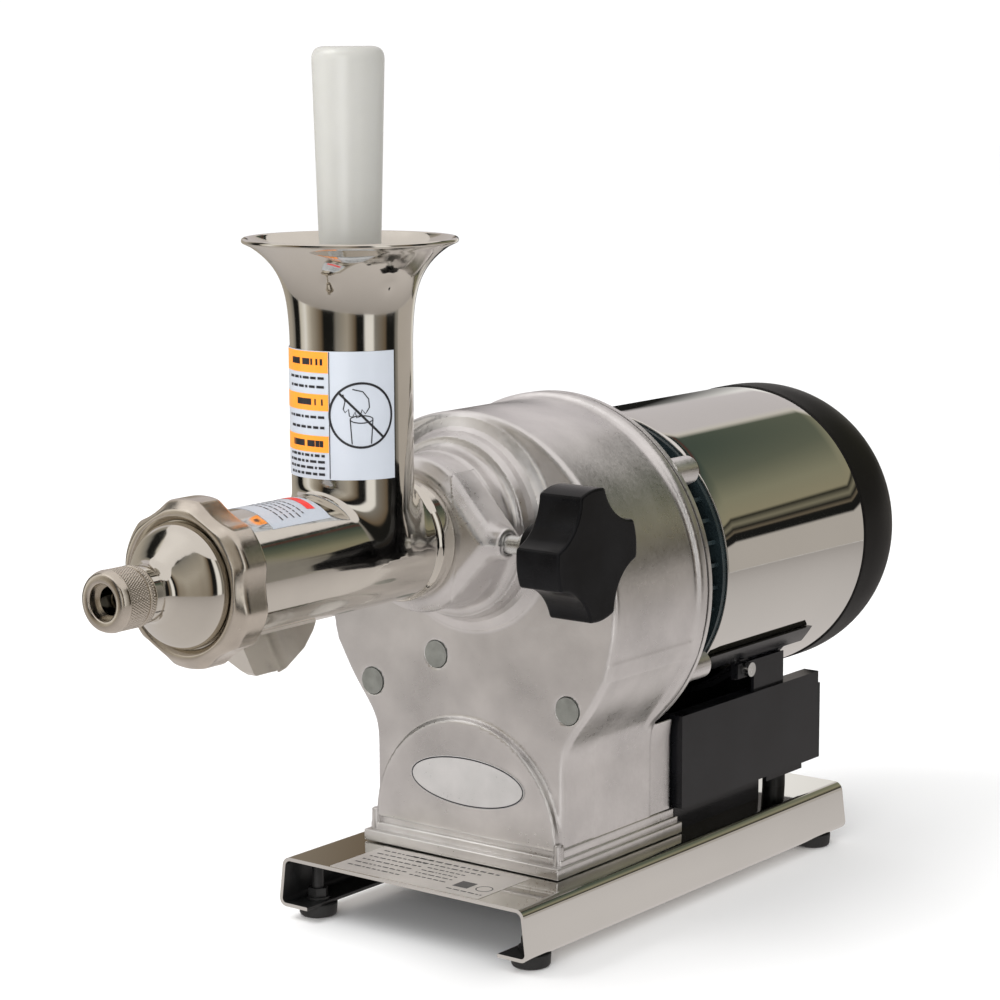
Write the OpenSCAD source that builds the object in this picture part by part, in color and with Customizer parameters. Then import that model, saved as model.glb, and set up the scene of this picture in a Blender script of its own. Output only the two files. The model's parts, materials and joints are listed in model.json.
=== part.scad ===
// Single-auger electric grinding press for the kitchen counter.
// Millimetres, +Z up. The origin is on the table under the middle of the four feet.
// The auger, the gear case and the motor share the plane x = 0, and the outlet points to -Y.

/* [Tray] */
// Length of the folded steel tray
tray_len = 258; // [250:1:300]
// Width of the tray's top between the upper bends
tray_w = 134; // [130:1:150]
// Thickness of the tray's sheet
tray_t = 1.6; // [1.2:0.1:2]
// Height of the tray's sides
tray_h = 22.8; // [22.8:0.1:26]
// How far each side leans out at its foot
tray_splay = 2.9; // [0:0.1:5]
// Height of the rubber feet under the tray
foot_h = 6; // [4:0.5:12]
// Radius of a rubber foot
foot_r = 8.7; // [7:0.1:9.5]

/* [Gear case] */
// Height of the auger's axis above the table
auger_z = 178.8; // [178.8:0.1:182]
// Height of the motor's axis above the table
motor_z = 147.8; // [147.8:0.1:148]
// Radius of the round drum of the gear case
drum_r = 80; // [79:0.5:82]
// Wall of the drum
drum_wall = 5; // [4:0.5:6]
// Half of the pedestal's width
ped_half = 52; // [50:0.5:56]
// Radius of the snout that holds the press tube
snout_r = 33.6; // [32:0.1:36]
// Radius of the snout's bore
snout_bore_r = 24.8; // [24.7:0.05:25]

/* [Press tube] */
// Outside radius of the feed tube and the press tube
tube_r = 25.4; // [25:0.1:25.8]
// Wall of the feed tube and the press tube
tube_wall = 1.6; // [1.2:0.1:2]
// Distance of the feed tube's axis in front of the origin
feed_y = 156.2; // [154:0.1:158]
// Height of the funnel's rim above the table
rim_z = 305.3; // [295:0.1:330]
// Radius of the funnel's rim
rim_r = 43.6; // [38:0.1:50]
// Height where the funnel starts to open
flare_z = 262; // [255:1:270]
// Top of the pusher above the table
pusher_top_z = 383.8; // [340:0.1:400]

/* [Motor] */
// Outside radius of the polished motor wrap
wrap_r = 69.2; // [69:0.1:70]
// Length of the polished motor wrap
wrap_len = 120.4; // [118:0.1:124]
// Number of ribs round the motor's front bell
bell_ribs = 40; // [24:1:48]

/* [Gears] */
// Teeth of the motor pinion
teeth_a = 14; // [14:1:14]
// Teeth of the first wheel
teeth_b = 56; // [56:1:56]
// Teeth of the second pinion
teeth_c = 12; // [12:1:12]
// Teeth of the output wheel
teeth_d = 48; // [48:1:48]
// Tooth module of the first pair
mod_1 = 1; // [1:0.5:1]
// Tooth module of the second pair
mod_2 = 1.5; // [1.5:0.5:1.5]

/* [Hidden] */
$fn = 96;
e = 0.01;

// Heights of the tray.
tray_top = foot_h + tray_h;
lip_w = 16.5;
lean = atan(tray_splay / tray_h);
foot_x = 59.5;
foot_y = 114;

// The gear case along Y.
face_y = -81;
snout_y = -121;
flange_y0 = -19;
joint_y = -14;
ped_back = 3;
face_z = 40.8;
flange_z0 = tray_top + 0.4;
flange_z1 = tray_top + 5.5;
cav_r = drum_r - drum_wall;

// The gear train. The idler's place follows from the two centre distances.
axis_gap = auger_z - motor_z;
dist_1 = mod_1 * (teeth_a + teeth_b) / 2;
dist_2 = mod_2 * (teeth_c + teeth_d) / 2;
idler_dz = (dist_1 * dist_1 - dist_2 * dist_2 + axis_gap * axis_gap) / (2 * axis_gap);
idler_x = sqrt(dist_1 * dist_1 - idler_dz * idler_dz);
idler_z = motor_z + idler_dz;
mesh_1 = atan2(idler_dz, idler_x);
mesh_2 = atan2(axis_gap - idler_dz, -idler_x);

// Screw places round the drum, as [x, z] from the drum's axis.
boss_at = [[58, 49.3], [-58, 49.3], [65.4, -37.6], [-65.4, -37.6]];
bolt_at = [[44, -70], [-44, -70], [44, -8], [-44, -8]];
plug_at = [[-17.5, 118.5], [-54.2, 101.5], [54.3, 102.8]];
spacer_at = [[42, 24], [-42, 24], [42, 106], [-42, 106]];

// The press tube along Y.
feed_in_r = tube_r - tube_wall;
tube_front = -254;
collar_r = 26.7;
spigot_r = snout_bore_r - 0.3;
spigot_y = -96;
thread_r = 28.9;
nut_y0 = -260;
nut_y1 = -244;
tip_y = -301.5;
clamp_y = -111;

// The motor along Y.
wrap_y0 = 21.8;
wrap_y1 = wrap_y0 + wrap_len;
cap_y = 192;
core_y0 = 45;
core_y1 = 105;

// The control box.
box_half = 56;
box_y0 = 5;
box_y1 = 125;
box_z0 = 41;
box_z1 = 84;
box_t = 1.6;
strip_z0 = 101;
strip_z1 = 109;
saddle_screw_y = 60;
saddle_screw_z = 96.2;

// ---------- helpers ----------

// Points of an arc, in order, from angle a0 to a1.
function arc(cx, cy, r, a0, a1, n) =
    [for (i = [0 : n]) [cx + r * cos(a0 + (a1 - a0) * i / n), cy + r * sin(a0 + (a1 - a0) * i / n)]];

// A solid of a flat outline in X and Z, from y0 to y1.
module along_y(y0, y1) {
    translate([0, y1, 0])
        rotate([90, 0, 0])
            linear_extrude(height = y1 - y0)
                children();
}

// A rod on a line parallel to Y.
module rod_y(r, y0, y1, x = 0, z = 0) {
    translate([x, y1, z])
        rotate([90, 0, 0])
            cylinder(r = r, h = y1 - y0);
}

// A turned solid about a line parallel to Y. The profile's points are [radius, y].
module turned_y(x, z) {
    translate([x, 0, z])
        rotate([-90, 0, 0])
            rotate_extrude()
                children();
}

// A rod on a line parallel to X.
module rod_x(r, x0, x1, y = 0, z = 0) {
    translate([x0, y, z])
        rotate([0, 90, 0])
            cylinder(r = r, h = x1 - x0);
}

// A box given by its two corners.
module block(a, b) {
    translate(a)
        cube([b[0] - a[0], b[1] - a[1], b[2] - a[2]]);
}

// Half angle that one tooth takes up at radius r, for an involute of base radius rb.
function inv_a(rb, r) = r <= rb ? 0 : sqrt(r * r / (rb * rb) - 1) * 180 / PI - acos(rb / r);
function tooth_half(m, n, pa, r) =
    let (rp = m * n / 2, rb = rp * cos(pa))
    (90 - 2.4) / n + inv_a(rb, rp) - inv_a(rb, max(r, rb));

// Outline of a spur gear with short involute teeth; a tooth points along phase.
function gear_pts(m, n, phase, pa = 25) =
    let (
        rp = m * n / 2,
        rb = rp * cos(pa),
        ra = rp + 0.8 * m,
        rf = rp - 1.05 * m,
        r0 = max(rb, rf + 0.15 * m),
        st = 3,
        rr = [for (i = [0 : st]) r0 + (ra - r0) * i / st]
    )
    [for (k = [0 : n - 1])
        let (c = phase + k * 360 / n, hf = tooth_half(m, n, pa, r0) + 0.6 / n * 10)
        each concat(
            [[rf * cos(c - hf), rf * sin(c - hf)]],
            [for (i = [0 : st]) let (h = tooth_half(m, n, pa, rr[i]))
                [rr[i] * cos(c - h), rr[i] * sin(c - h)]],
            [for (i = [st : -1 : 0]) let (h = tooth_half(m, n, pa, rr[i]))
                [rr[i] * cos(c + h), rr[i] * sin(c + h)]],
            [[rf * cos(c + hf), rf * sin(c + hf)]]
        )
    ];

module gear(m, n, phase, y0, y1, x, z) {
    translate([x, 0, z])
        along_y(y0, y1)
            polygon(gear_pts(m, n, phase));
}

// ---------- tray and feet ----------

// Outline of the right half of the tray, drawn once round the outside and back inside.
function tray_half(ro1, ro2, t) =
    let (
        nx = cos(lean),
        nz = sin(lean),
        xt = tray_w / 2 - 0.4,
        xb = xt + tray_splay,
        c1 = xt + (-ro1 + ro1 * nz) / nx,
        c2 = xb - (ro2 + ro2 * nz) / nx
    )
    concat(
        [[0, tray_top]],
        arc(c1, tray_top - ro1, ro1, 90, lean, 6),
        arc(c2, foot_h + ro2, ro2, lean, -90, 6),
        [[xb - lip_w, foot_h], [xb - lip_w, foot_h + t]],
        arc(c2, foot_h + ro2, ro2 - t, -90, lean, 6),
        arc(c1, tray_top - ro1, ro1 - t, lean, 90, 6),
        [[0, tray_top - t]]
    );

module base_tray() {
    color([0.8, 0.8, 0.79])
    difference() {
        union() {
            along_y(-tray_len / 2, tray_len / 2)
                polygon(tray_half(4.4, 3.6, tray_t));
            mirror([1, 0, 0])
                along_y(-tray_len / 2, tray_len / 2)
                    polygon(tray_half(4.4, 3.6, tray_t));
        }
        for (p = bolt_at)
            translate([p[0], p[1], foot_h + 10])
                cylinder(r = 3.3, h = tray_h);
        for (p = spacer_at)
            translate([p[0], p[1], foot_h + 10])
                cylinder(r = 2.2, h = tray_h);
        for (sx = [-1, 1], sy = [-1, 1])
            translate([sx * foot_x, sy * foot_y, foot_h - 1])
                cylinder(r = 2.9, h = tray_t + 2);
    }
}

module rubber_feet() {
    color([0.06, 0.06, 0.06])
    for (sx = [-1, 1], sy = [-1, 1])
        translate([sx * foot_x, sy * foot_y, 0])
            difference() {
                cylinder(r = foot_r, h = foot_h);
                // the threaded post is moulded into the top
                translate([0, 0, foot_h - 2])
                    cylinder(r = 2.65, h = 3);
            }
}

module foot_posts() {
    color([0.12, 0.12, 0.12])
    for (sx = [-1, 1], sy = [-1, 1])
        translate([sx * foot_x, sy * foot_y, 0]) {
            translate([0, 0, foot_h - 1.95])
                cylinder(r = 2.6, h = tray_top - tray_t - foot_h + 1.75);
            translate([0, 0, foot_h + tray_t + 0.05])
                cylinder(r = 5.4, h = 1);
            translate([0, 0, foot_h + tray_t + 1])
                cylinder(r = 4.6, h = 4, $fn = 6);
        }
}

// ---------- gear case ----------

// Front outline of the pedestal: straight foot, then a curve that meets the drum.
waist_z = 84;
flare_r = 62;
function ped_pts() =
    let (
        right = concat(
            [[ped_half, face_z]],
            arc(ped_half + flare_r, waist_z - 12, flare_r, 180, 139, 10)
        )
    )
    concat(
        right,
        [[40, motor_z]],
        [[-40, motor_z]],
        [for (i = [len(right) - 1 : -1 : 0]) [-right[i][0], right[i][1]]]
    );

module snout_outline() {
    circle(r = snout_r);
    polygon([[42, 4.6], [24.9, 22.5], [0, 20], [0, -20], [24.9, -22.5], [42, -4.6]]);
}

module gear_case() {
    color([0.74, 0.74, 0.72])
    difference() {
        union() {
            // drum with a small round on its front edge
            turned_y(0, motor_z)
                polygon(concat(
                    [[0, face_y]],
                    arc(drum_r - 3, face_y + 3, 3, -90, 0, 5),
                    [[drum_r, joint_y], [0, joint_y]]
                ));
            // rim of the drum with a rounded bead
            turned_y(0, motor_z)
                polygon(concat(
                    [[60, flange_y0 - 0.5], [drum_r + 0.2, flange_y0 - 0.5]],
                    arc(drum_r + 0.5, flange_y0 + 1.2, 1.7, -90, 0, 5),
                    [[drum_r + 2.2, joint_y], [60, joint_y]]
                ));
            // pedestal
            along_y(face_y, ped_back)
                polygon(ped_pts());
            // foot of the pedestal, in three shallow steps
            block([-ped_half - 0.6, face_y - 1.4, flange_z1 + 3], [ped_half + 0.6, ped_back + 1, face_z + 1]);
            block([-ped_half - 1.4, face_y - 3.4, flange_z1], [ped_half + 1.4, ped_back + 3, flange_z1 + 3.2]);
            block([-ped_half - 2.4, face_y - 7, flange_z0], [ped_half + 2.4, ped_back + 5, flange_z1 + e]);
            // raised half-round pad
            intersection() {
                turned_y(0, face_z + 0.5)
                    polygon([[0, face_y - 3], [49.4, face_y - 3], [50.4, face_y - 2], [50.4, face_y + 1], [0, face_y + 1]]);
                block([-60, face_y - 6, face_z - 2], [60, face_y + 3, face_z + 60]);
            }
            // snout with a blended root and a rounded nose
            turned_y(0, auger_z)
                polygon(concat(
                    [[0, face_y + 2], [46.5, face_y + 2], [46.5, face_y - 0.6]],
                    [[42.8, face_y - 2.6], [40.9, face_y - 4.6], [40.4, face_y - 7.5]],
                    arc(snout_r + 5.2, face_y - 16, 5.2, 60, 180, 6),
                    arc(snout_r - 4.5, snout_y + 4.5, 4.5, 0, -90, 6),
                    [[0, snout_y]]
                ));
            // wedge boss for the clamp screw
            translate([0, 0, auger_z])
                along_y(clamp_y - 5.5, clamp_y + 11)
                    snout_outline();
            rod_x(6.6, 30, 46, clamp_y, auger_z);
        }
        // gear room
        rod_y(cav_r, face_y + 6, joint_y + 1, 0, motor_z);
        // room behind the joint for the cover and the motor
        rod_y(drum_r + 2.6, joint_y, ped_back + 8, 0, motor_z);
        for (p = boss_at)
            rod_y(2.7, -40, joint_y + 1, p[0], motor_z + p[1]);
        // hollow of the pedestal, open at the back and below
        block([-ped_half + 5, face_y + 6, flange_z0 - 1], [ped_half - 5, ped_back + 8, 68]);
        // bore for the press tube
        rod_y(snout_bore_r, snout_y - 1, -93, 0, auger_z);
        rod_y(17.05, -94, -85, 0, auger_z);
        rod_y(11, -86, -77, 0, auger_z);
        rod_x(4.05, 22, 60, clamp_y, auger_z);
        // pockets of the plugs
        for (p = plug_at)
            rod_y(6.05, face_y - 1, face_y + 2.2, p[0], p[1]);
        // holes of the floor bolts
        for (p = bolt_at)
            translate([p[0], p[1], flange_z0 - 1])
                cylinder(r = 3.05, h = 11);
        // bearing seats left open through the wall behind the snout
        rod_y(21.05, -78, face_y + 7, 0, auger_z);
        rod_y(11.05, -77.5, face_y + 7, idler_x, idler_z);
    }
    color([0.74, 0.74, 0.72])
    difference() {
        union() {
            rod_y(25.5, face_y + 5.5, -66, 0, auger_z);
            rod_y(14.5, face_y + 5.5, -66, idler_x, idler_z);
            intersection() {
                rod_y(drum_r - 0.4, -45, joint_y, 0, motor_z);
                for (p = boss_at)
                    rod_y(6.5, -44, joint_y, p[0], motor_z + p[1]);
            }
        }
        rod_y(21.05, -78, -65, 0, auger_z);
        rod_y(11.05, -77.5, -65, idler_x, idler_z);
        for (p = boss_at)
            rod_y(2.55, -40, joint_y + 1, p[0], motor_z + p[1]);
    }
}

module case_bolts() {
    color([0.7, 0.7, 0.68])
    for (p = bolt_at)
        translate([p[0], p[1], 0]) {
            translate([0, 0, tray_top - tray_t - 4])
                cylinder(r = 5.6, h = 4, $fn = 6);
            translate([0, 0, tray_top - tray_t - 0.5])
                cylinder(r = 3, h = 10.5);
        }
}

module case_plugs() {
    color([0.55, 0.56, 0.54])
    for (p = plug_at)
        rod_y(6, face_y - 0.25, face_y + 2.1, p[0], p[1]);
}

module cover_gasket() {
    color([0.2, 0.2, 0.2])
    difference() {
        rod_y(drum_r + 1.6, joint_y, joint_y + 0.5, 0, motor_z);
        rod_y(cav_r, joint_y - 1, joint_y + 1, 0, motor_z);
        for (p = boss_at)
            rod_y(2.7, joint_y - 1, joint_y + 1, p[0], motor_z + p[1]);
    }
}

module gear_cover() {
    color([0.7, 0.7, 0.69])
    difference() {
        union() {
            turned_y(0, motor_z)
                polygon([
                    [0, joint_y + 0.5], [drum_r + 2.2, joint_y + 0.5], [drum_r + 2.2, -11.3],
                    [drum_r + 1.4, -10.5], [71, -10.5], [67.5, -7], [0, -7]
                ]);
            rod_y(16.5, -19.4, -13, 0, auger_z);
            rod_y(14.5, -19.4, -13, idler_x, idler_z);
            rod_y(21, -8, 3, 0, motor_z);
            for (p = boss_at)
                rod_y(6.5, -12, 4, p[0], motor_z + p[1]);
        }
        rod_y(13.05, -20, -8.5, 0, auger_z);
        rod_y(11.05, -20, -9.5, idler_x, idler_z);
        rod_y(16.05, -8, 4, 0, motor_z);
        rod_y(8.6, -15, -7, 0, motor_z);
        for (p = boss_at)
            rod_y(2.7, -15, 5, p[0], motor_z + p[1]);
    }
}

module cover_screws() {
    color([0.72, 0.72, 0.7])
    for (p = boss_at) {
        rod_y(4.4, 4.05, 7, p[0], motor_z + p[1]);
        rod_y(2.5, -36, 4.5, p[0], motor_z + p[1]);
    }
}

module output_seal() {
    color([0.15, 0.12, 0.1])
    turned_y(0, auger_z)
        polygon([
            [10.05, -91.5], [11.5, -91.5], [12.5, -87], [15.5, -87], [15.5, -91.5], [17, -91.5],
            [17, -85.1], [10.6, -85.1], [10.05, -88]
        ]);
}

// One ball bearing drawn as a ring with a shield groove on each side.
module bearing(r0, r1, y0, y1, x, z) {
    g0 = r0 + (r1 - r0) * 0.3;
    g1 = r0 + (r1 - r0) * 0.7;
    turned_y(x, z)
        polygon([
            [r0, y0], [g0, y0], [g0, y0 + 0.8], [g1, y0 + 0.8], [g1, y0], [r1, y0],
            [r1, y1], [g1, y1], [g1, y1 - 0.8], [g0, y1 - 0.8], [g0, y1], [r0, y1]
        ]);
}

module output_bearings() {
    color([0.78, 0.78, 0.8]) {
        bearing(10.05, 21, -78, -66, 0, auger_z);
        bearing(9.05, 13, -18.5, -8.6, 0, auger_z);
    }
}

module idler_bearings() {
    color([0.78, 0.78, 0.8]) {
        bearing(5.05, 11, -76, -66, idler_x, idler_z);
        bearing(5.05, 11, -18.5, -9.6, idler_x, idler_z);
    }
}

module motor_bearings() {
    color([0.78, 0.78, 0.8]) {
        bearing(6.05, 16, -8, 2, 0, motor_z);
        bearing(6.05, 16, 120.5, 130, 0, motor_z);
    }
}

// ---------- motor ----------

module motor_bell() {
    color([0.1, 0.11, 0.11])
    union() {
        difference() {
            union() {
                rod_y(66.6, -6.9, -3, 0, motor_z);
                rod_y(wrap_r - 1.2, 19, 30, 0, motor_z);
                rod_y(58.5, -6.9, 28, 0, motor_z);
            }
            rod_y(55.5, -8, 31, 0, motor_z);
            for (p = boss_at)
                rod_y(7, -8, 9, p[0], motor_z + p[1]);
        }
        for (i = [0 : bell_ribs - 1])
            translate([0, 0, motor_z])
                rotate([0, (i + 0.5) * 360 / bell_ribs, 0])
                    block([57.5, -4, -0.9], [65.6, 20, 0.9]);
    }
}

module stator_core() {
    color([0.42, 0.42, 0.44])
    difference() {
        rod_y(61, core_y0, core_y1, 0, motor_z);
        rod_y(33, core_y0 - 1, core_y1 + 1, 0, motor_z);
        for (i = [0 : 11])
            translate([0, 0, motor_z])
                rotate([0, i * 30, 0])
                    block([35, core_y0 - 1, -4], [50, core_y1 + 1, 4]);
    }
}

module stator_windings() {
    color([0.72, 0.38, 0.18]) {
        turned_y(0, motor_z)
            polygon(concat(
                arc(47, core_y0 - 7, 5.5, -90, 0, 5),
                [[52.5, core_y0 - 0.2], [36.5, core_y0 - 0.2]],
                arc(42, core_y0 - 7, 5.5, 180, 270, 5)
            ));
        turned_y(0, motor_z)
            polygon(concat(
                [[36.5, core_y1 + 0.2], [52.5, core_y1 + 0.2]],
                arc(47, core_y1 + 7, 5.5, 0, 90, 5),
                arc(42, core_y1 + 7, 5.5, 90, 180, 5)
            ));
        for (i = [0 : 11])
            translate([0, 0, motor_z])
                rotate([0, i * 30, 0])
                    block([37, core_y0 - 1, -3.6], [49.6, core_y1 + 1, 3.6]);
    }
}

module motor_end_plate() {
    color([0.68, 0.68, 0.67])
    difference() {
        union() {
            rod_y(wrap_r - 1.2, 121, 127, 0, motor_z);
            rod_y(21, 120, 131, 0, motor_z);
        }
        rod_y(16.05, 120.5, 132, 0, motor_z);
        rod_y(8, 119, 133, 0, motor_z);
        for (i = [0 : 7])
            translate([0, 0, motor_z])
                rotate([0, i * 45, 0])
                    rod_y(9, 119, 133, 42, 0);
        for (i = [0 : 3])
            translate([0, 0, motor_z])
                rotate([0, 22.5 + i * 90, 0])
                    rod_y(2.1, 119, 133, 64, 0);
    }
}

module motor_tie_bolts() {
    color([0.75, 0.75, 0.72])
    for (i = [0 : 3])
        translate([0, 0, motor_z])
            rotate([0, 22.5 + i * 90, 0]) {
                rod_y(2, 30.1, 127.5, 64, 0);
                rod_y(3.4, 127.1, 130, 64, 0);
            }
}

module motor_wrap() {
    color([0.82, 0.82, 0.8])
    difference() {
        rod_y(wrap_r, wrap_y0, wrap_y1, 0, motor_z);
        rod_y(wrap_r - 1.1, wrap_y0 - 1, wrap_y1 + 1, 0, motor_z);
        // narrow seam along the bottom
        block([-1.2, wrap_y0 - 2, motor_z - wrap_r - 2], [1.2, wrap_y1 + 2, motor_z - wrap_r + 3]);
    }
}

module motor_end_cap() {
    color([0.09, 0.09, 0.09])
    difference() {
        turned_y(0, motor_z)
            polygon(concat(
                [[0, wrap_y1 - 4], [wrap_r - 1.3, wrap_y1 - 4], [wrap_r - 1.3, wrap_y1 + 0.1]],
                [[wrap_r + 0.3, wrap_y1 + 0.1], [wrap_r + 0.3, wrap_y1 + 12]],
                [[68.6, wrap_y1 + 23], [66.2, wrap_y1 + 32], [62, cap_y - 9.6]],
                [[57, cap_y - 4], [52.6, cap_y - 1.2], [48, cap_y], [0, cap_y]]
            ));
        turned_y(0, motor_z)
            polygon([
                [0, wrap_y1 - 5], [wrap_r - 4, wrap_y1 - 5], [wrap_r - 3.4, wrap_y1 + 12],
                [62.6, wrap_y1 + 31], [50, cap_y - 4], [0, cap_y - 4]
            ]);
        // air slots in the back face
        for (i = [-4 : 4])
            block([-40 + abs(i) * 4, cap_y - 6, motor_z + i * 9 - 2], [40 - abs(i) * 4, cap_y + 2, motor_z + i * 9 + 2]);
    }
}

module rotor_shaft() {
    color([0.66, 0.66, 0.68]) {
        union() {
            gear(mod_1, teeth_a, mesh_1, -33, -19.5, 0, motor_z);
            rod_y(5.5, -34, -9, 0, motor_z);
            rod_y(6, -10, 134, 0, motor_z);
            rod_y(9, 4, 118, 0, motor_z);
            rod_y(5, 130, 152, 0, motor_z);
        }
    }
}

module rotor_core() {
    color([0.5, 0.5, 0.52])
    difference() {
        union() {
            rod_y(32.6, core_y0, core_y1, 0, motor_z);
            rod_y(30, core_y0 - 4, core_y1 + 4, 0, motor_z);
        }
        rod_y(20, core_y0 - 5, core_y0, 0, motor_z);
        rod_y(20, core_y1, core_y1 + 5, 0, motor_z);
        rod_y(9.05, core_y0 - 6, core_y1 + 6, 0, motor_z);
    }
}

module cooling_fan() {
    color([0.2, 0.2, 0.22])
    difference() {
        union() {
            rod_y(12, 138, 151, 0, motor_z);
            rod_y(52, 138, 140, 0, motor_z);
            for (i = [0 : 7])
                translate([0, 0, motor_z])
                    rotate([0, i * 45, 0])
                        block([10, 139, -0.9], [52, 152, 0.9]);
        }
        rod_y(5.05, 137, 153, 0, motor_z);
    }
}

module idler_shaft() {
    color([0.62, 0.62, 0.64])
    union() {
        rod_y(5, -76, -9.7, idler_x, idler_z);
        rod_y(6.9, -65.8, -18.8, idler_x, idler_z);
        gear(mod_2, teeth_c, mesh_2, -63, -41, idler_x, idler_z);
    }
}

module idler_gear() {
    color([0.58, 0.58, 0.6])
    difference() {
        union() {
            gear(mod_1, teeth_b, mesh_1 + 180 + 180 / teeth_b, -32, -20, idler_x, idler_z);
            rod_y(12, -35, -20, idler_x, idler_z);
        }
        rod_y(6.95, -36, -19, idler_x, idler_z);
        for (i = [0 : 5])
            translate([idler_x, 0, idler_z])
                rotate([0, i * 60, 0])
                    rod_y(4, -33, -19, 18.5, 0);
    }
}

module output_shaft() {
    color([0.66, 0.66, 0.68])
    union() {
        rod_y(10, -92, -18.8, 0, auger_z);
        rod_y(9, -19, -9, 0, auger_z);
        translate([0, -91, auger_z])
            rotate([90, 0, 0])
                cylinder(r = 6.9, h = 26, $fn = 6);
    }
}

module output_gear() {
    color([0.6, 0.6, 0.62])
    difference() {
        union() {
            gear(mod_2, teeth_d, mesh_2 + 180 + 180 / teeth_d, -62, -42, 0, auger_z);
            rod_y(16, -65, -38, 0, auger_z);
        }
        rod_y(10.05, -66, -37, 0, auger_z);
        for (i = [0 : 5])
            translate([0, 0, auger_z])
                rotate([0, 30 + i * 60, 0])
                    rod_y(5, -63, -41, 24.5, 0);
    }
}

// ---------- motor saddle and control box ----------

module motor_saddle() {
    color([0.08, 0.08, 0.08])
    difference() {
        union() {
            // strips along both sides of the wrap, joined by one band under it
            difference() {
                rod_y(wrap_r + 2.4, 22, 110, 0, motor_z);
                block([-80, 20, strip_z1], [80, 112, motor_z + 80]);
                block([-80, 20, 40], [80, 66, strip_z0]);
                block([-80, 94, 40], [80, 112, strip_z0]);
            }
            for (s = [-1, 1])
                block([s * 51.3 - 1.1, 54, 91.5], [s * 51.3 + 1.1, 94, strip_z0 + 1]);
        }
        rod_y(wrap_r + 0.25, 21, 111, 0, motor_z);
        for (s = [-1, 1])
            rod_x(2.2, s * 51.3 - 4, s * 51.3 + 4, saddle_screw_y, saddle_screw_z);
    }
}

module box_screws() {
    color([0.75, 0.75, 0.72]) {
        for (s = [-1, 1]) {
            rod_x(3.4, min(s * 54.2, s * 58), max(s * 54.2, s * 58), saddle_screw_y, saddle_screw_z);
            rod_x(2, min(s * 50.4, s * 55), max(s * 50.4, s * 55), saddle_screw_y, saddle_screw_z);
        }
        for (sx = [-1, 1], z = [47, 70]) {
            rod_y(3, box_y1 + 0.05, box_y1 + 2, sx * 50, z);
            rod_y(1.6, box_y1 - 8, box_y1 + 1, sx * 50, z);
        }
    }
}

module control_box() {
    color([0.07, 0.07, 0.07])
    difference() {
        union() {
            // floor and two side walls with a narrow lip on top
            block([-box_half, box_y0, box_z0], [box_half, box_y1 - 1.7, box_z0 + box_t]);
            for (s = [0, 1])
                mirror([s, 0, 0]) {
                    block([box_half - box_t, box_y0, box_z0], [box_half, box_y1 - 1.7, box_z1]);
                    block([box_half - 8, box_y0, box_z1 - box_t], [box_half, box_y1 - 1.7, box_z1]);
                    // ear for the saddle screw
                    block([52.55, 68, box_z1 - 1], [54.1, 94, 99]);
                    block([52.55, 54, 92], [54.1, 76, 99]);
                    // tab that steadies the back
                    block([box_half - 6, 84, box_z0 - 4.6], [box_half - 4.4, 116, box_z0 + 1]);
                    // skirt that stands on the tray
                    block([box_half - 7.8, box_y0 + 3, tray_top], [box_half - 6.2, 80, box_z0 + 1]);
                    // screw block for the rear panel
                    block([box_half - 10, box_y1 - 10, box_z0 + 1], [box_half - 1, box_y1 - 1.7, 78]);
                }
            // front wall
            block([-box_half, box_y0, box_z0], [box_half, box_y0 + box_t, box_z1]);
        }
        rod_y(wrap_r + 3.2, box_y0 - 2, box_y1 + 2, 0, motor_z);
        for (s = [-1, 1])
            rod_x(2.2, s * 53.3 - 3, s * 53.3 + 3, saddle_screw_y, saddle_screw_z);
        for (p = spacer_at)
            translate([p[0], p[1], box_z0 - 1])
                cylinder(r = 2.2, h = 5);
        for (sx = [-1, 1], z = [47, 70])
            rod_y(1.65, box_y1 - 9, box_y1 + 1, sx * 50, z);
    }
}

module rear_panel() {
    color([0.07, 0.07, 0.07])
    difference() {
        block([-box_half, box_y1 - box_t, box_z0], [box_half, box_y1, box_z1 - 6]);
        rod_y(wrap_r + 3.2, box_y0 - 2, box_y1 + 2, 0, motor_z);
        block([-32, box_y1 - 3, 48], [-8, box_y1 + 1, 68]);
        rod_y(8.05, box_y1 - 3, box_y1 + 1, 28, 58);
        for (sx = [-1, 1], z = [47, 70])
            rod_y(1.75, box_y1 - 9, box_y1 + 1, sx * 50, z);
    }
}

module box_spacers() {
    color([0.3, 0.3, 0.3])
    for (p = spacer_at)
        translate([p[0], p[1], 0]) {
            difference() {
                translate([0, 0, tray_top])
                    cylinder(r = 5.5, h = box_z0 - tray_top);
                translate([0, 0, tray_top - 1])
                    cylinder(r = 2.1, h = 20);
            }
            translate([0, 0, tray_top - tray_t - 2.6])
                cylinder(r = 3.8, h = 2.5);
            translate([0, 0, tray_top - tray_t - 0.2])
                cylinder(r = 2, h = box_z0 - tray_top + 6);
        }
}

module run_capacitor() {
    color([0.65, 0.66, 0.67]) {
        rod_y(14, 20, 88, -32, 58.2);
        rod_y(12.5, 88, 90, -32, 58.2);
        rod_y(2, 89, 96, -37, 58.2);
        rod_y(2, 89, 96, -27, 58.2);
    }
}

module terminal_block() {
    color([0.85, 0.84, 0.8])
    difference() {
        block([12, 30, box_z0 + box_t], [46, 50, box_z0 + box_t + 16]);
        for (i = [0 : 3])
            translate([17 + i * 8, 40, box_z0 + box_t + 6])
                cylinder(r = 2.2, h = 12);
        for (i = [0 : 2])
            block([20.4 + i * 8, 29, box_z0 + box_t + 9], [21.6 + i * 8, 51, box_z0 + 20]);
    }
}

module switch_body() {
    color([0.12, 0.12, 0.12])
    difference() {
        union() {
            block([-31.9, box_y1 - 22, 48.1], [-8.1, box_y1 + 0.2, 67.9]);
            block([-34, box_y1 + 0.05, 46], [-6, box_y1 + 2, 70]);
        }
        block([-28.5, box_y1 - 12, 50.5], [-11.5, box_y1 + 3, 65.5]);
    }
}

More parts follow.
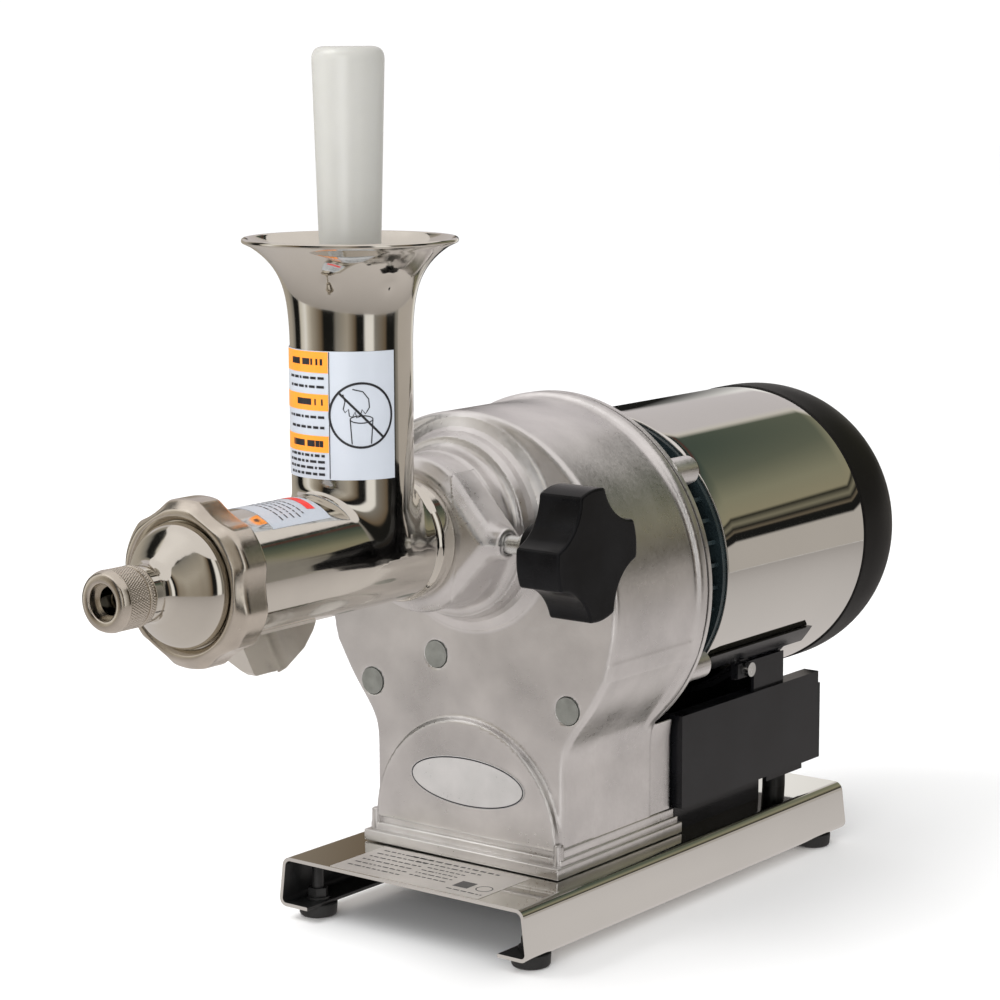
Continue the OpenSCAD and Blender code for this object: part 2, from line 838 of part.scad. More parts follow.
module switch_rocker() {
    color([0.6, 0.08, 0.07])
    translate([0, box_y1 - 3.2, 58])
        rotate([9, 0, 0])
            union() {
                along_x_plate();
                rod_x(2.2, -27.6, -12.4, 0, 0);
            }
}

// Rocker outline seen from the side, with two slopes that meet over the pivot.
module along_x_plate() {
    translate([-27.8, 0, 0])
        rotate([90, 0, 90])
            linear_extrude(height = 15.6)
                polygon([[-2.2, -2.2], [2.4, -6.6], [5.6, -6.2], [4.4, 0], [5.6, 6.2], [2.4, 6.6], [-2.2, 2.2]]);
}

module cord_gland() {
    color([0.05, 0.05, 0.05])
    difference() {
        union() {
            rod_y(8, box_y1 - 8, box_y1 + 1, 28, 58);
            turned_y(28, 58)
                polygon([[0, box_y1 + 0.05], [11, box_y1 + 0.05], [11, box_y1 + 2.5], [8.5, box_y1 + 9], [0, box_y1 + 9]]);
            rod_y(10.5, box_y1 - 6.5, box_y1 - box_t - 0.1, 28, 58);
        }
        rod_y(4, box_y1 - 10, box_y1 + 11, 28, 58);
    }
}

// ---------- badge and labels ----------

module front_badge() {
    color([0.78, 0.78, 0.77])
    translate([2.2, face_y - 3.02, 64])
        rotate([90, 0, 0])
            linear_extrude(height = 0.5)
                polygon([for (i = [0 : 47]) [31.5 * cos(i * 7.5), 11.2 * sin(i * 7.5)]]);
}

module data_label() {
    color([0.75, 0.75, 0.74])
    block([-40, -128, tray_top + 0.02], [42, -90.5, tray_top + 0.2]);
}

module safety_label() {
    color([0.95, 0.95, 0.95])
    translate([0, -feed_y, 211])
        rotate([0, 0, -172])
            rotate_extrude(angle = 164)
                translate([tube_r + 0.03, 0])
                    square([0.17, 52]);
}

module tube_label() {
    color([0.95, 0.95, 0.95])
    translate([0, -190, auger_z])
        rotate([90, 0, 0])
            rotate([0, 0, 48])
                rotate_extrude(angle = 96)
                    translate([tube_r + 0.03, 0])
                        square([0.17, 34]);
}

// ---------- press tube ----------

flare_h = rim_z - flare_z;
// Trumpet curve of the funnel's outside: radius at a share s of its height.
function flare_at(s) = tube_r + (rim_r - tube_r) * (0.28 * pow(s, 2) + 0.72 * pow(s, 5));
steps = 16;

feed_r = tube_r - 0.2;
feed_bore = feed_r - tube_wall;

// Outside of the feed tube with its funnel and the rolled lip.
module feed_outside() {
    translate([0, -feed_y, 0])
        rotate_extrude()
            polygon(concat(
                [[0, auger_z]], [[feed_r, auger_z]],
                [for (i = [0 : steps]) [flare_at(i / steps) - 0.2, flare_z + flare_h * i / steps]],
                arc(rim_r - 0.5, rim_z + 0.8, 1.1, -40, 150, 7),
                [[rim_r - 2.2, rim_z + 0.2], [0, rim_z + 0.2]]
            ));
}

// Room inside the feed tube and the funnel.
module feed_inside() {
    translate([0, -feed_y, 0])
        rotate_extrude()
            polygon(concat(
                [[0, auger_z], [feed_bore, auger_z]],
                [for (i = [0 : steps]) [flare_at(i / steps) - 0.2 - tube_wall, flare_z + flare_h * i / steps]],
                [[rim_r - 1.9, rim_z + 4], [0, rim_z + 4]]
            ));
}

module press_outside() {
    turned_y(0, auger_z)
        polygon(concat(
            [[0, tube_front], [thread_r - 0.8, tube_front], [thread_r, tube_front + 0.8]],
            [[thread_r, -247.5], [thread_r - 1.5, -246.6], [tube_r, -246], [tube_r, -133]],
            [[collar_r - 0.4, -131.5], [collar_r, -129], [collar_r, -124], [collar_r - 0.6, -122]],
            [[collar_r - 1.2, -121.3], [spigot_r, -121.3], [spigot_r, spigot_y + 1]],
            [[spigot_r - 1, spigot_y], [0, spigot_y]]
        ));
}

module press_body() {
    color([0.8, 0.79, 0.76])
    difference() {
        union() {
            press_outside();
            feed_outside();
        }
        rod_y(feed_in_r, tube_front - 1, -128, 0, auger_z);
        rod_y(feed_in_r - 1.4, -130, spigot_y + 1, 0, auger_z);
        feed_inside();
        // juice window under the screen
        block([-10, -236, auger_z - 30], [10, -200, auger_z - 5]);
    }
}

// Screen of lengthwise slots between two solid end bands.
screen_slots = 28;
module strainer_screen() {
    color([0.72, 0.72, 0.7])
    difference() {
        rod_y(feed_in_r - 0.1, -252, -190, 0, auger_z);
        rod_y(feed_in_r - 1.2, -253, -189, 0, auger_z);
        for (i = [0 : screen_slots / 2 - 1])
            translate([0, 0, auger_z])
                rotate([0, (i + 0.5) * 360 / screen_slots, 0])
                    block([-30, -248, -0.6], [30, -194, 0.6]);
    }
}

// Side outline of the spout, as [y, z].
function spout_side(d) = [
    [-240 + d, auger_z - 18], [-240 + d, 156], [-236 + d, 151.5], [-222 + d, 138],
    [-219 + d / 2, 136 - d], [-206 - d / 2, 134.8 - d], [-201.5 - d, 136.5],
    [-195.5 - d, 144.5], [-195 - d, 152], [-197 - d, auger_z - 18]
];

// Wedge beside the keel of the spout, as [x, z]: what is outside it stays clear of the keel.
function spout_side_cut(d) = [
    [13.5 - d, 156 + 0.27 * d], [1.8 - 0.95 * d, 135.6 + 0.35 * d], [0.8 - 0.16 * d, 134.8 + d],
    [0.8 - 0.16 * d, 125], [30, 125], [30, 156 + 0.27 * d]
];

module spout_solid(d) {
    difference() {
        translate([d - 13.5, 0, 0])
            rotate([90, 0, 90])
                linear_extrude(height = 27 - 2 * d)
                    polygon(spout_side(d));
        for (side = [0, 1])
            mirror([side, 0, 0])
                translate([0, -185, 0])
                    rotate([90, 0, 0])
                        linear_extrude(height = 65)
                            polygon(spout_side_cut(d));
    }
}

module juice_spout() {
    color([0.8, 0.79, 0.76])
    difference() {
        spout_solid(0);
        spout_solid(1.3);
        // mouth, a slot along the keel
        block([-2.2, -219.5, 130], [2.2, -205, 141]);
        // saddle cut that lies on the tube
        rod_y(tube_r + 0.03, -242, -190, 0, auger_z);
        block([-20, -242, auger_z - 19], [20, -190, auger_z]);
    }
}

module auger_bush() {
    color([0.93, 0.93, 0.9])
    difference() {
        union() {
            rod_y(feed_in_r - 1.45, -128.2, -98, 0, auger_z);
            rod_y(feed_in_r - 0.1, -131.5, -128, 0, auger_z);
        }
        rod_y(12.08, -133, -97, 0, auger_z);
    }
}

module auger_core() {
    color([0.86, 0.86, 0.84])
    difference() {
        union() {
            rod_y(12, -246, -99, 0, auger_z);
            rod_y(21, -135.5, -132, 0, auger_z);
            turned_y(0, auger_z)
                polygon([[0, -270], [3.6, -270], [4.8, -268.4], [12, -246], [0, -246]]);
        }
        translate([0, -98, auger_z])
            rotate([90, 0, 0])
                cylinder(r = 7.3, h = 23, $fn = 6);
    }
}

// The flight is a thin ribbon wound on the core; it gets finer towards the outlet.
flight_n = 22;
flight_turns = 4.5;
flight_y0 = -137;
flight_len = 106;
function flight_y(t) = flight_y0 - flight_len * (1 - pow(1 - t, 1.35));
function flight_ring(t) =
    let (a = 360 * flight_turns * t, y = flight_y(t), w = 2.6 - 0.6 * t, r = 21.2)
    [
        [11.8 * cos(a), y - w, auger_z + 11.8 * sin(a)],
        [11.8 * cos(a), y + w, auger_z + 11.8 * sin(a)],
        [r * cos(a), y + w * 0.45, auger_z + r * sin(a)],
        [r * cos(a), y - w * 0.45, auger_z + r * sin(a)]
    ];

module auger_flight() {
    n = floor(flight_n * flight_turns);
    pts = [for (i = [0 : n]) each flight_ring(i / n)];
    faces = concat(
        [[3, 2, 1, 0]],
        [for (i = [0 : n - 1], k = [0 : 3])
            [4 * i + k, 4 * i + (k + 1) % 4, 4 * i + 4 + (k + 1) % 4]],
        [for (i = [0 : n - 1], k = [0 : 3])
            [4 * i + k, 4 * i + 4 + (k + 1) % 4, 4 * i + 4 + k]],
        [[4 * n, 4 * n + 1, 4 * n + 2, 4 * n + 3]]
    );
    color([0.86, 0.86, 0.84])
        polyhedron(points = pts, faces = faces);
}

module pusher() {
    color([0.93, 0.93, 0.91])
    translate([0, -feed_y, 0])
        rotate_extrude()
            polygon(concat(
                [[0, 200.6], [10.4, 200.6], [11.6, 201.8], [12.7, rim_z]],
                arc(10.4, pusher_top_z - 4.5, 4.5, 5, 90, 6),
                [[0, pusher_top_z]]
            ));
}

// ---------- outlet ----------

module pulp_cone() {
    color([0.8, 0.79, 0.76])
    difference() {
        turned_y(0, auger_z)
            polygon([
                [0, -254.1], [28.6, -254.1], [28.6, -256.4], [24.9, -256.4], [24.9, -259.6],
                [24.3, -261.8], [22.8, -264.1], [20.3, -266.7], [17.2, -269.6], [14.4, -272.2],
                [12.5, -274.2], [11.6, -275.8], [11.3, -277.4], [11.3, -283.2], [8.2, -283.3],
                [8.2, -296.5], [0, -296.5]
            ]);
        turned_y(0, auger_z)
            polygon([
                [0, -253], [22.9, -253], [22.9, -260.5], [21.2, -263.5], [17.4, -267],
                [12, -270.8], [8, -274.6], [5.6, -279], [5.6, -298], [0, -298]
            ]);
    }
}

module nozzle_lock_ring() {
    color([0.7, 0.67, 0.62])
    difference() {
        turned_y(0, auger_z)
            polygon([[0, -286.9], [11.5, -286.9], [12.1, -286.3], [12.1, -284.6], [11.4, -283.4], [0, -283.4]]);
        rod_y(8.3, -290, -282, 0, auger_z);
    }
}

lobes = 6;
module ring_nut() {
    color([0.72, 0.69, 0.63])
    difference() {
        turned_y(0, auger_z)
            polygon([
                [0, nut_y0], [29.2, nut_y0], [30.8, nut_y0 + 0.8], [33.4, nut_y0 + 4.4],
                [33.4, nut_y1 - 1.5], [32.4, nut_y1], [0, nut_y1]
            ]);
        for (i = [0 : lobes - 1])
            translate([0, 0, auger_z])
                rotate([0, -1.5 + i * 360 / lobes, 0])
                    rod_y(40.4, nut_y0 - 2, nut_y1 + 2, 71.6, 0);
        rod_y(29.2, nut_y0 + 3.5, nut_y1 + 1, 0, auger_z);
        rod_y(25.3, nut_y0 - 1, nut_y1 + 1, 0, auger_z);
        turned_y(0, auger_z)
            polygon([[0, nut_y0 - 1], [27.6, nut_y0 - 1], [27.6, nut_y0], [25.5, nut_y0 + 1.6], [0, nut_y0 + 1.6]]);
    }
}

module nozzle_o_ring() {
    color([0.05, 0.05, 0.05])
    translate([0, -288.1, auger_z])
        rotate([90, 0, 0])
            rotate_extrude()
                translate([9, 0])
                    circle(r = 0.65);
}

module nozzle_cap() {
    color([0.7, 0.67, 0.62])
    difference() {
        turned_y(0, auger_z)
            polygon([
                [0, tip_y], [9, tip_y], [11, tip_y + 1], [12.1, tip_y + 2.9],
                [12.1, -287.6], [11.7, -287.2], [0, -287.2]
            ]);
        rod_y(7, tip_y - 1, -290, 0, auger_z);
        rod_y(8.5, -297, -286, 0, auger_z);
        rod_y(9.8, -288.9, -286, 0, auger_z);
    }
}

// ---------- clamp screw ----------

module clamp_pad() {
    color([0.72, 0.6, 0.32])
    rod_x(3.4, 24.85, 27.2, clamp_y, auger_z);
}

module clamp_stud() {
    color([0.78, 0.78, 0.76]) {
        rod_x(4, 27.3, 84, clamp_y, auger_z);
        rod_x(5.6, 54.5, 58, clamp_y, auger_z);
    }
}

knob_x0 = 70.5;
knob_x1 = 92;
knob_r = 27.8;
knob_lobes = 4;
// Direction of the middle of one hollow between two lobes
knob_phase = 142.5;
module knob_outline() {
    difference() {
        circle(r = knob_r);
        for (i = [0 : knob_lobes - 1])
            rotate(knob_phase + i * 360 / knob_lobes)
                translate([42.1, 0])
                    circle(r = 21.6);
    }
}

module clamp_knob() {
    color([0.05, 0.05, 0.05])
    difference() {
        union() {
            translate([knob_x0, clamp_y, auger_z])
                rotate([0, 90, 0])
                    linear_extrude(height = knob_x1 - knob_x0)
                        knob_outline();
            rod_x(10, 58.5, knob_x0 + 1, clamp_y, auger_z);
        }
        rod_x(4.05, 57, 85, clamp_y, auger_z);
    }
}

base_tray();
rubber_feet();
foot_posts();
gear_case();
case_bolts();
case_plugs();
cover_gasket();
gear_cover();
cover_screws();
output_seal();
output_bearings();
idler_bearings();
motor_bearings();
motor_bell();
stator_core();
stator_windings();
motor_end_plate();
motor_tie_bolts();
motor_wrap();
motor_end_cap();
motor_saddle();
box_screws();
control_box();
rear_panel();
box_spacers();
run_capacitor();
terminal_block();
switch_body();
cord_gland();
front_badge();
data_label();
rotor_shaft();
rotor_core();
cooling_fan();
idler_shaft();
idler_gear();
output_shaft();
output_gear();
press_body();
strainer_screen();
juice_spout();
auger_bush();
safety_label();
tube_label();
auger_core();
auger_flight();
pusher();
pulp_cone();
nozzle_lock_ring();
ring_nut();
nozzle_o_ring();
nozzle_cap();
clamp_pad();
clamp_stud();
clamp_knob();
switch_rocker();
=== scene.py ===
import bpy
import bmesh
import json
import math
import numpy as np
from mathutils import Matrix, Vector


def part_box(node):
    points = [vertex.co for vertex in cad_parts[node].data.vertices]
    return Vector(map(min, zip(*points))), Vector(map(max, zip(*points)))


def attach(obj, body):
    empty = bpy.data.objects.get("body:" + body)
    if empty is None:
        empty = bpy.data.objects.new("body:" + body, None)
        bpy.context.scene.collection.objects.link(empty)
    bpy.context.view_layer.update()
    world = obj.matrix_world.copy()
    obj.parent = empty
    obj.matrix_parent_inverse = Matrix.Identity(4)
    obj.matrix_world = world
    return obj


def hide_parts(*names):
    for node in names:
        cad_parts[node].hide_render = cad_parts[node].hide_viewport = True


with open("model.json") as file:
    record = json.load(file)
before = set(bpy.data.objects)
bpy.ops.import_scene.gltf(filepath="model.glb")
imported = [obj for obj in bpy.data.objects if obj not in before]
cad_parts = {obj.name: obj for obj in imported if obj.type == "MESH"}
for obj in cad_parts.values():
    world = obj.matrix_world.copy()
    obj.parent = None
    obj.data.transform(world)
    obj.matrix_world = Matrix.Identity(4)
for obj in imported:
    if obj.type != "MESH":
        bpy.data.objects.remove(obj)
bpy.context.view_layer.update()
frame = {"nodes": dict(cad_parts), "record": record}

MM = 0.001
TAU = 2 * math.pi


# ---------------- places from the frame
def lo(n):
    """Lowest corner of a node, in millimetres."""
    return np.array(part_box(n)[0]) * 1000


def hi(n):
    """Highest corner of a node, in millimetres."""
    return np.array(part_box(n)[1]) * 1000


AZ = float((lo("ring_nut")[2] + hi("ring_nut")[2]) / 2)  # auger axis
MZ = float((lo("motor_wrap")[2] + hi("motor_wrap")[2]) / 2)  # motor axis
FY = float((lo("pusher")[1] + hi("pusher")[1]) / 2)  # feed tube axis
TT = float(hi("base_tray")[2])  # tray top
RIM = float(hi("press_body")[2]) - 1.9  # funnel rim
NODES = frame["nodes"]

# ---------------- camera
SENSOR_MM = 36
LENS_MM = 101.17
CAMERA_AT = (0.7449, -1.0271, 0.3832)
CAMERA_FORWARD = (-0.6012, 0.7831, -0.1592)
CAMERA_RIGHT = (0.7935, 0.6085, -0.0036)
cam_data = bpy.data.cameras.new("camera")
cam = bpy.data.objects.new("camera", cam_data)
bpy.context.scene.collection.objects.link(cam)
cam_data.sensor_width = SENSOR_MM
cam_data.lens = LENS_MM
cam_data.clip_start = 0.05
cam_data.clip_end = 50
cam_f = Vector(CAMERA_FORWARD).normalized()
cam_r = Vector(CAMERA_RIGHT)
cam_r = (cam_r - cam_f * cam_r.dot(cam_f)).normalized()
cam_u = cam_r.cross(cam_f)
cam.matrix_world = Matrix((
    (cam_r.x, cam_u.x, -cam_f.x, CAMERA_AT[0]),
    (cam_r.y, cam_u.y, -cam_f.y, CAMERA_AT[1]),
    (cam_r.z, cam_u.z, -cam_f.z, CAMERA_AT[2]),
    (0, 0, 0, 1)))
bpy.context.scene.camera = cam
bpy.context.scene.view_settings.view_transform = "Standard"


# ---------------- mesh helpers (millimetres)
def mark_sharp(me, degrees):
    """Edges steeper than this stay sharp when the faces are shaded smooth."""
    bm = bmesh.new()
    bm.from_mesh(me)
    for e in bm.edges:
        if len(e.link_faces) == 2 and e.calc_face_angle(0) > math.radians(degrees):
            e.smooth = False
    bm.to_mesh(me)
    bm.free()


def make(name, V, F, body, slot, replaces=(), sharp=None, normals=None, mat=None):
    """A mesh object from points in millimetres, in its slot's material unless mat names another."""
    me = bpy.data.meshes.new(name)
    faces = F.tolist() if isinstance(F, np.ndarray) else F
    me.from_pydata((np.asarray(V, float) * MM).tolist(), [], faces)
    me.validate()
    me.polygons.foreach_set("use_smooth", np.ones(len(me.polygons), bool))
    if sharp is not None:
        mark_sharp(me, sharp)
    if normals is not None and len(normals) == len(me.vertices):
        me.normals_split_custom_set_from_vertices([tuple(n) for n in normals])
    ob = bpy.data.objects.new(name, me)
    bpy.context.scene.collection.objects.link(ob)
    me.materials.append(M[mat or slot])
    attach(ob, body)
    if replaces:
        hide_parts(*replaces)
    return ob


def grid_faces(nu, nv, cu, cv):
    """Quads of a net of nu by nv points; cu and cv close it along each way."""
    iu = np.arange(nu if cu else nu - 1)
    iv = np.arange(nv if cv else nv - 1)
    a, b = np.meshgrid(iu, iv, indexing="ij")
    a1, b1 = (a + 1) % nu, (b + 1) % nv
    return np.stack([a * nv + b, a1 * nv + b, a1 * nv + b1, a * nv + b1], -1).reshape(-1, 4)


def axis_points(R, A, th, axis, at):
    """Radius R and place A along an axis, turned by th, as points."""
    c, s = R * np.cos(th), R * np.sin(th)
    if axis == "y":
        P = [at[0] + c, A + 0 * c, at[2] + s]
    elif axis == "z":
        P = [at[0] + c, at[1] + s, A + 0 * c]
    else:
        P = [A + 0 * c, at[1] + c, at[2] + s]
    return np.stack(P, -1)


def spline(pts, per=6):
    """Points on a smooth curve through pts; a point given twice stays a corner."""
    pts = [np.array(p, float) for p in pts]
    out = []
    runs, run = [], [pts[0]]
    for p in pts[1:]:
        if np.allclose(p, run[-1]):
            runs.append(run)
            run = [p]
        else:
            run.append(p)
    runs.append(run)
    for r in runs:
        if len(r) < 3:
            out += r
            continue
        q = [2 * r[0] - r[1]] + r + [2 * r[-1] - r[-2]]
        for i in range(1, len(q) - 2):
            for k in range(per):
                t = k / per
                p0, p1, p2, p3 = q[i - 1], q[i], q[i + 1], q[i + 2]
                out.append(0.5 * (2 * p1 + (p2 - p0) * t + (2 * p0 - 5 * p1 + 4 * p2 - p3) * t * t
                                  + (3 * p1 - p0 - 3 * p2 + p3) * t ** 3))
        out.append(r[-1])
    return np.array(out)


def round_path(pts, r, n=4, closed=True):
    """A polyline with each corner rounded. r is one radius or one for each point."""
    P = [np.array(p, float) for p in pts]
    m = len(P)
    rr = [r] * m if np.isscalar(r) else list(r)
    out = []
    for i in range(m):
        if not closed and i in (0, m - 1):
            out.append(P[i])
            continue
        a, b, c = P[i - 1], P[i], P[(i + 1) % m]
        u, v = a - b, c - b
        lu, lv = np.linalg.norm(u), np.linalg.norm(v)
        d = min(rr[i], lu * 0.49, lv * 0.49)
        if d < 1e-4:
            out.append(b)
            continue
        p0, p2 = b + u / lu * d, b + v / lv * d
        for k in range(n + 1):
            t = k / n
            out.append((1 - t) ** 2 * p0 + 2 * t * (1 - t) * b + t * t * p2)
    return np.array(out)


def resample(pts, step, whole=math.ceil):
    """A polyline whose pieces are cut into about equal steps; whole says how their number is rounded."""
    out = [np.array(pts[0], float)]
    for q in pts[1:]:
        q = np.array(q, float)
        n = max(1, int(whole(np.linalg.norm(q - out[-1]) / step)))
        start = out[-1]
        out += [start + (q - start) * (k + 1) / n for k in range(n)]
    return np.array(out)


def lathe(name, prof, axis, at, body, slot, seg=192, closed=True, replaces=(), sharp=40, wave=None):
    """Turns a profile of [radius, place] points. wave(theta, place, radius) is added to the radius."""
    prof = np.asarray(prof, float)
    th = np.arange(seg) / seg * TAU
    T = np.repeat(th[:, None], len(prof), 1)
    R = np.repeat(prof[None, :, 0], seg, 0)
    A = np.repeat(prof[None, :, 1], seg, 0)
    if wave is not None:
        R = R + wave(T, A, R)
    V = axis_points(R, A, T, axis, at).reshape(-1, 3)
    F = grid_faces(seg, len(prof), True, closed)
    # which way round the profile runs decides which side of the faces is out
    q = np.roll(prof, -1, 0)
    area = ((prof[:, 0] * q[:, 1]) - (q[:, 0] * prof[:, 1])).sum()
    flip = (area > 0) != (axis == "y")
    if closed and not flip or (not closed and flip):
        F = F[:, ::-1]
    return make(name, V, F, body, slot, replaces, sharp=sharp)


# ---------------- distance fields
def sm(a, b, k):
    """The union of two shapes, blended over k millimetres."""
    h = np.maximum(k - np.abs(a - b), 0) / k
    return np.minimum(a, b) - h * h * k / 4


def sx(a, b, k):
    """What two shapes share, blended over k millimetres."""
    return -sm(-a, -b, k)


def ext(d2, t, t0, t1, r):
    """A flat shape d2 given thickness from t0 to t1, with its edges rounded by r."""
    a = d2 + r
    b = np.abs(t - (t0 + t1) / 2) - (t1 - t0) / 2 + r
    return np.minimum(np.maximum(a, b), 0) + np.hypot(np.maximum(a, 0), np.maximum(b, 0)) - r


def cyl_x(p, y, z, R, x0, x1, r=0.0):
    """A round bar along X."""
    return ext(np.hypot(p[1] - y, p[2] - z) - R, p[0], x0, x1, r)


def box3(p, a, b, r=0.0):
    """A block from corner a to corner b with rounded edges."""
    q = [np.abs(p[i] - (a[i] + b[i]) / 2) - (b[i] - a[i]) / 2 + r for i in range(3)]
    out = np.sqrt(sum(np.maximum(v, 0) ** 2 for v in q))
    return out + np.minimum(np.maximum(np.maximum(q[0], q[1]), q[2]), 0) - r


def poly(u, v, pts):
    """Distance to a closed outline, negative inside."""
    d = np.full(np.shape(u), 1e9)
    s = np.ones(np.shape(u))
    n = len(pts)
    for i in range(n):
        ax_, ay = pts[i]
        bx, by = pts[i - 1]
        ex, ey = bx - ax_, by - ay
        wx, wy = u - ax_, v - ay
        t = np.clip((wx * ex + wy * ey) / (ex * ex + ey * ey), 0, 1)
        d = np.minimum(d, (wx - ex * t) ** 2 + (wy - ey * t) ** 2)
        c1, c2, c3 = v >= ay, v < by, ex * wy > ey * wx
        s = np.where((c1 & c2 & c3) | (~c1 & ~c2 & ~c3), -s, s)
    return s * np.sqrt(d)


POINTS_AT_ONCE = 1.2e6


def nets(f, a, b, h, steps=5):
    """Surface of a distance field as a net of quads that is then pulled onto the field's zero."""
    ax = [np.arange(a[i], b[i] + h, h, dtype=np.float32) for i in range(3)]
    n = [len(v) for v in ax]
    G = np.empty(n, np.float32)
    ch = max(1, int(POINTS_AT_ONCE / (n[1] * n[2])))
    for i in range(0, n[0], ch):
        p = np.meshgrid(ax[0][i:i + ch], ax[1], ax[2], indexing="ij")
        G[i:i + ch] = f(p)
    S = G < 0
    cnt = np.zeros([v - 1 for v in n], np.int8)
    for o in np.ndindex(2, 2, 2):
        cnt += S[o[0]:n[0] - 1 + o[0], o[1]:n[1] - 1 + o[1], o[2]:n[2] - 1 + o[2]]
    act = (cnt > 0) & (cnt < 8)
    C = np.argwhere(act)
    ident = np.full(act.shape, -1, np.int64)
    ident[tuple(C.T)] = np.arange(len(C))
    acc = np.zeros((len(C), 3))
    num = np.zeros(len(C))
    for d in range(3):
        e = [k for k in range(3) if k != d]
        for u in (0, 1):
            for v in (0, 1):
                A = C.copy()
                A[:, e[0]] += u
                A[:, e[1]] += v
                B = A.copy()
                B[:, d] += 1
                ga, gb = G[tuple(A.T)], G[tuple(B.T)]
                x = (ga < 0) != (gb < 0)
                t = ga[x] / (ga[x] - gb[x])
                q = A[x].astype(float)
                q[:, d] += t
                acc[x] += q
                num[x] += 1
    V = acc / num[:, None] * h + np.array(a)
    F = []
    for d in range(3):
        e = [k for k in range(3) if k != d]
        sl0 = [slice(1, n[k] - 1) for k in range(3)]
        sl1 = list(sl0)
        sl0[d] = slice(0, n[d] - 1)
        sl1[d] = slice(1, n[d])
        s0, s1 = S[tuple(sl0)], S[tuple(sl1)]
        off = np.array([0 if k == d else 1 for k in range(3)])
        I = np.argwhere(s0 != s1) + off
        up = s0[s0 != s1]
        quad = []
        for u, v in ((1, 1), (0, 1), (0, 0), (1, 0)):
            J = I.copy()
            J[:, e[0]] -= u
            J[:, e[1]] -= v
            quad.append(ident[tuple(J.T)])
        Q = np.stack(quad, 1)
        turn = up if d != 1 else ~up
        Q[~turn] = Q[~turn][:, ::-1]
        F.append(Q)
    F = np.concatenate(F)

    def val(P):
        return f([P[:, 0], P[:, 1], P[:, 2]])

    def grad(P, s=0.03):
        g = np.empty_like(P)
        for k in range(3):
            o = np.zeros(3)
            o[k] = s
            g[:, k] = (val(P + o) - val(P - o)) / (2 * s)
        return g

    V0 = V.copy()
    for _ in range(steps):
        g = grad(V)
        m = np.maximum((g * g).sum(1), 0.05)
        st = -(val(V) / m)[:, None] * g
        ln = np.linalg.norm(st, axis=1, keepdims=True)
        V = V + st * np.minimum(1, 0.4 * h / np.maximum(ln, 1e-9))
    V = V0 + np.clip(V - V0, -h, h)
    g = grad(V)
    N = g / np.maximum(np.linalg.norm(g, axis=1, keepdims=True), 1e-6)
    return V, F, N


def field(name, f, a, b, h, body, slot, replaces=(), cuts=(), keep_if=None, lift=0.0):
    """A piece from the zero surface of f. keep_if marks the points that stay; lift moves them outwards."""
    V, F, N = nets(f, a, b, h)
    if keep_if is not None:
        F = F[keep_if(V)[F].any(1)]
    for axis, place, keep in cuts:
        # points just past the cut are pulled onto it, the rest go
        side = (V[:, axis] - place) * keep
        gone = side < -0.75 * h
        V[(side < 0.25 * h) & ~gone, axis] = place
        F = F[~gone[F].any(1)]
    V = V + N * lift
    used, F = np.unique(F, return_inverse=True)
    return make(name, V[used], F.reshape(-1, 4), body, slot, replaces, normals=N[used])


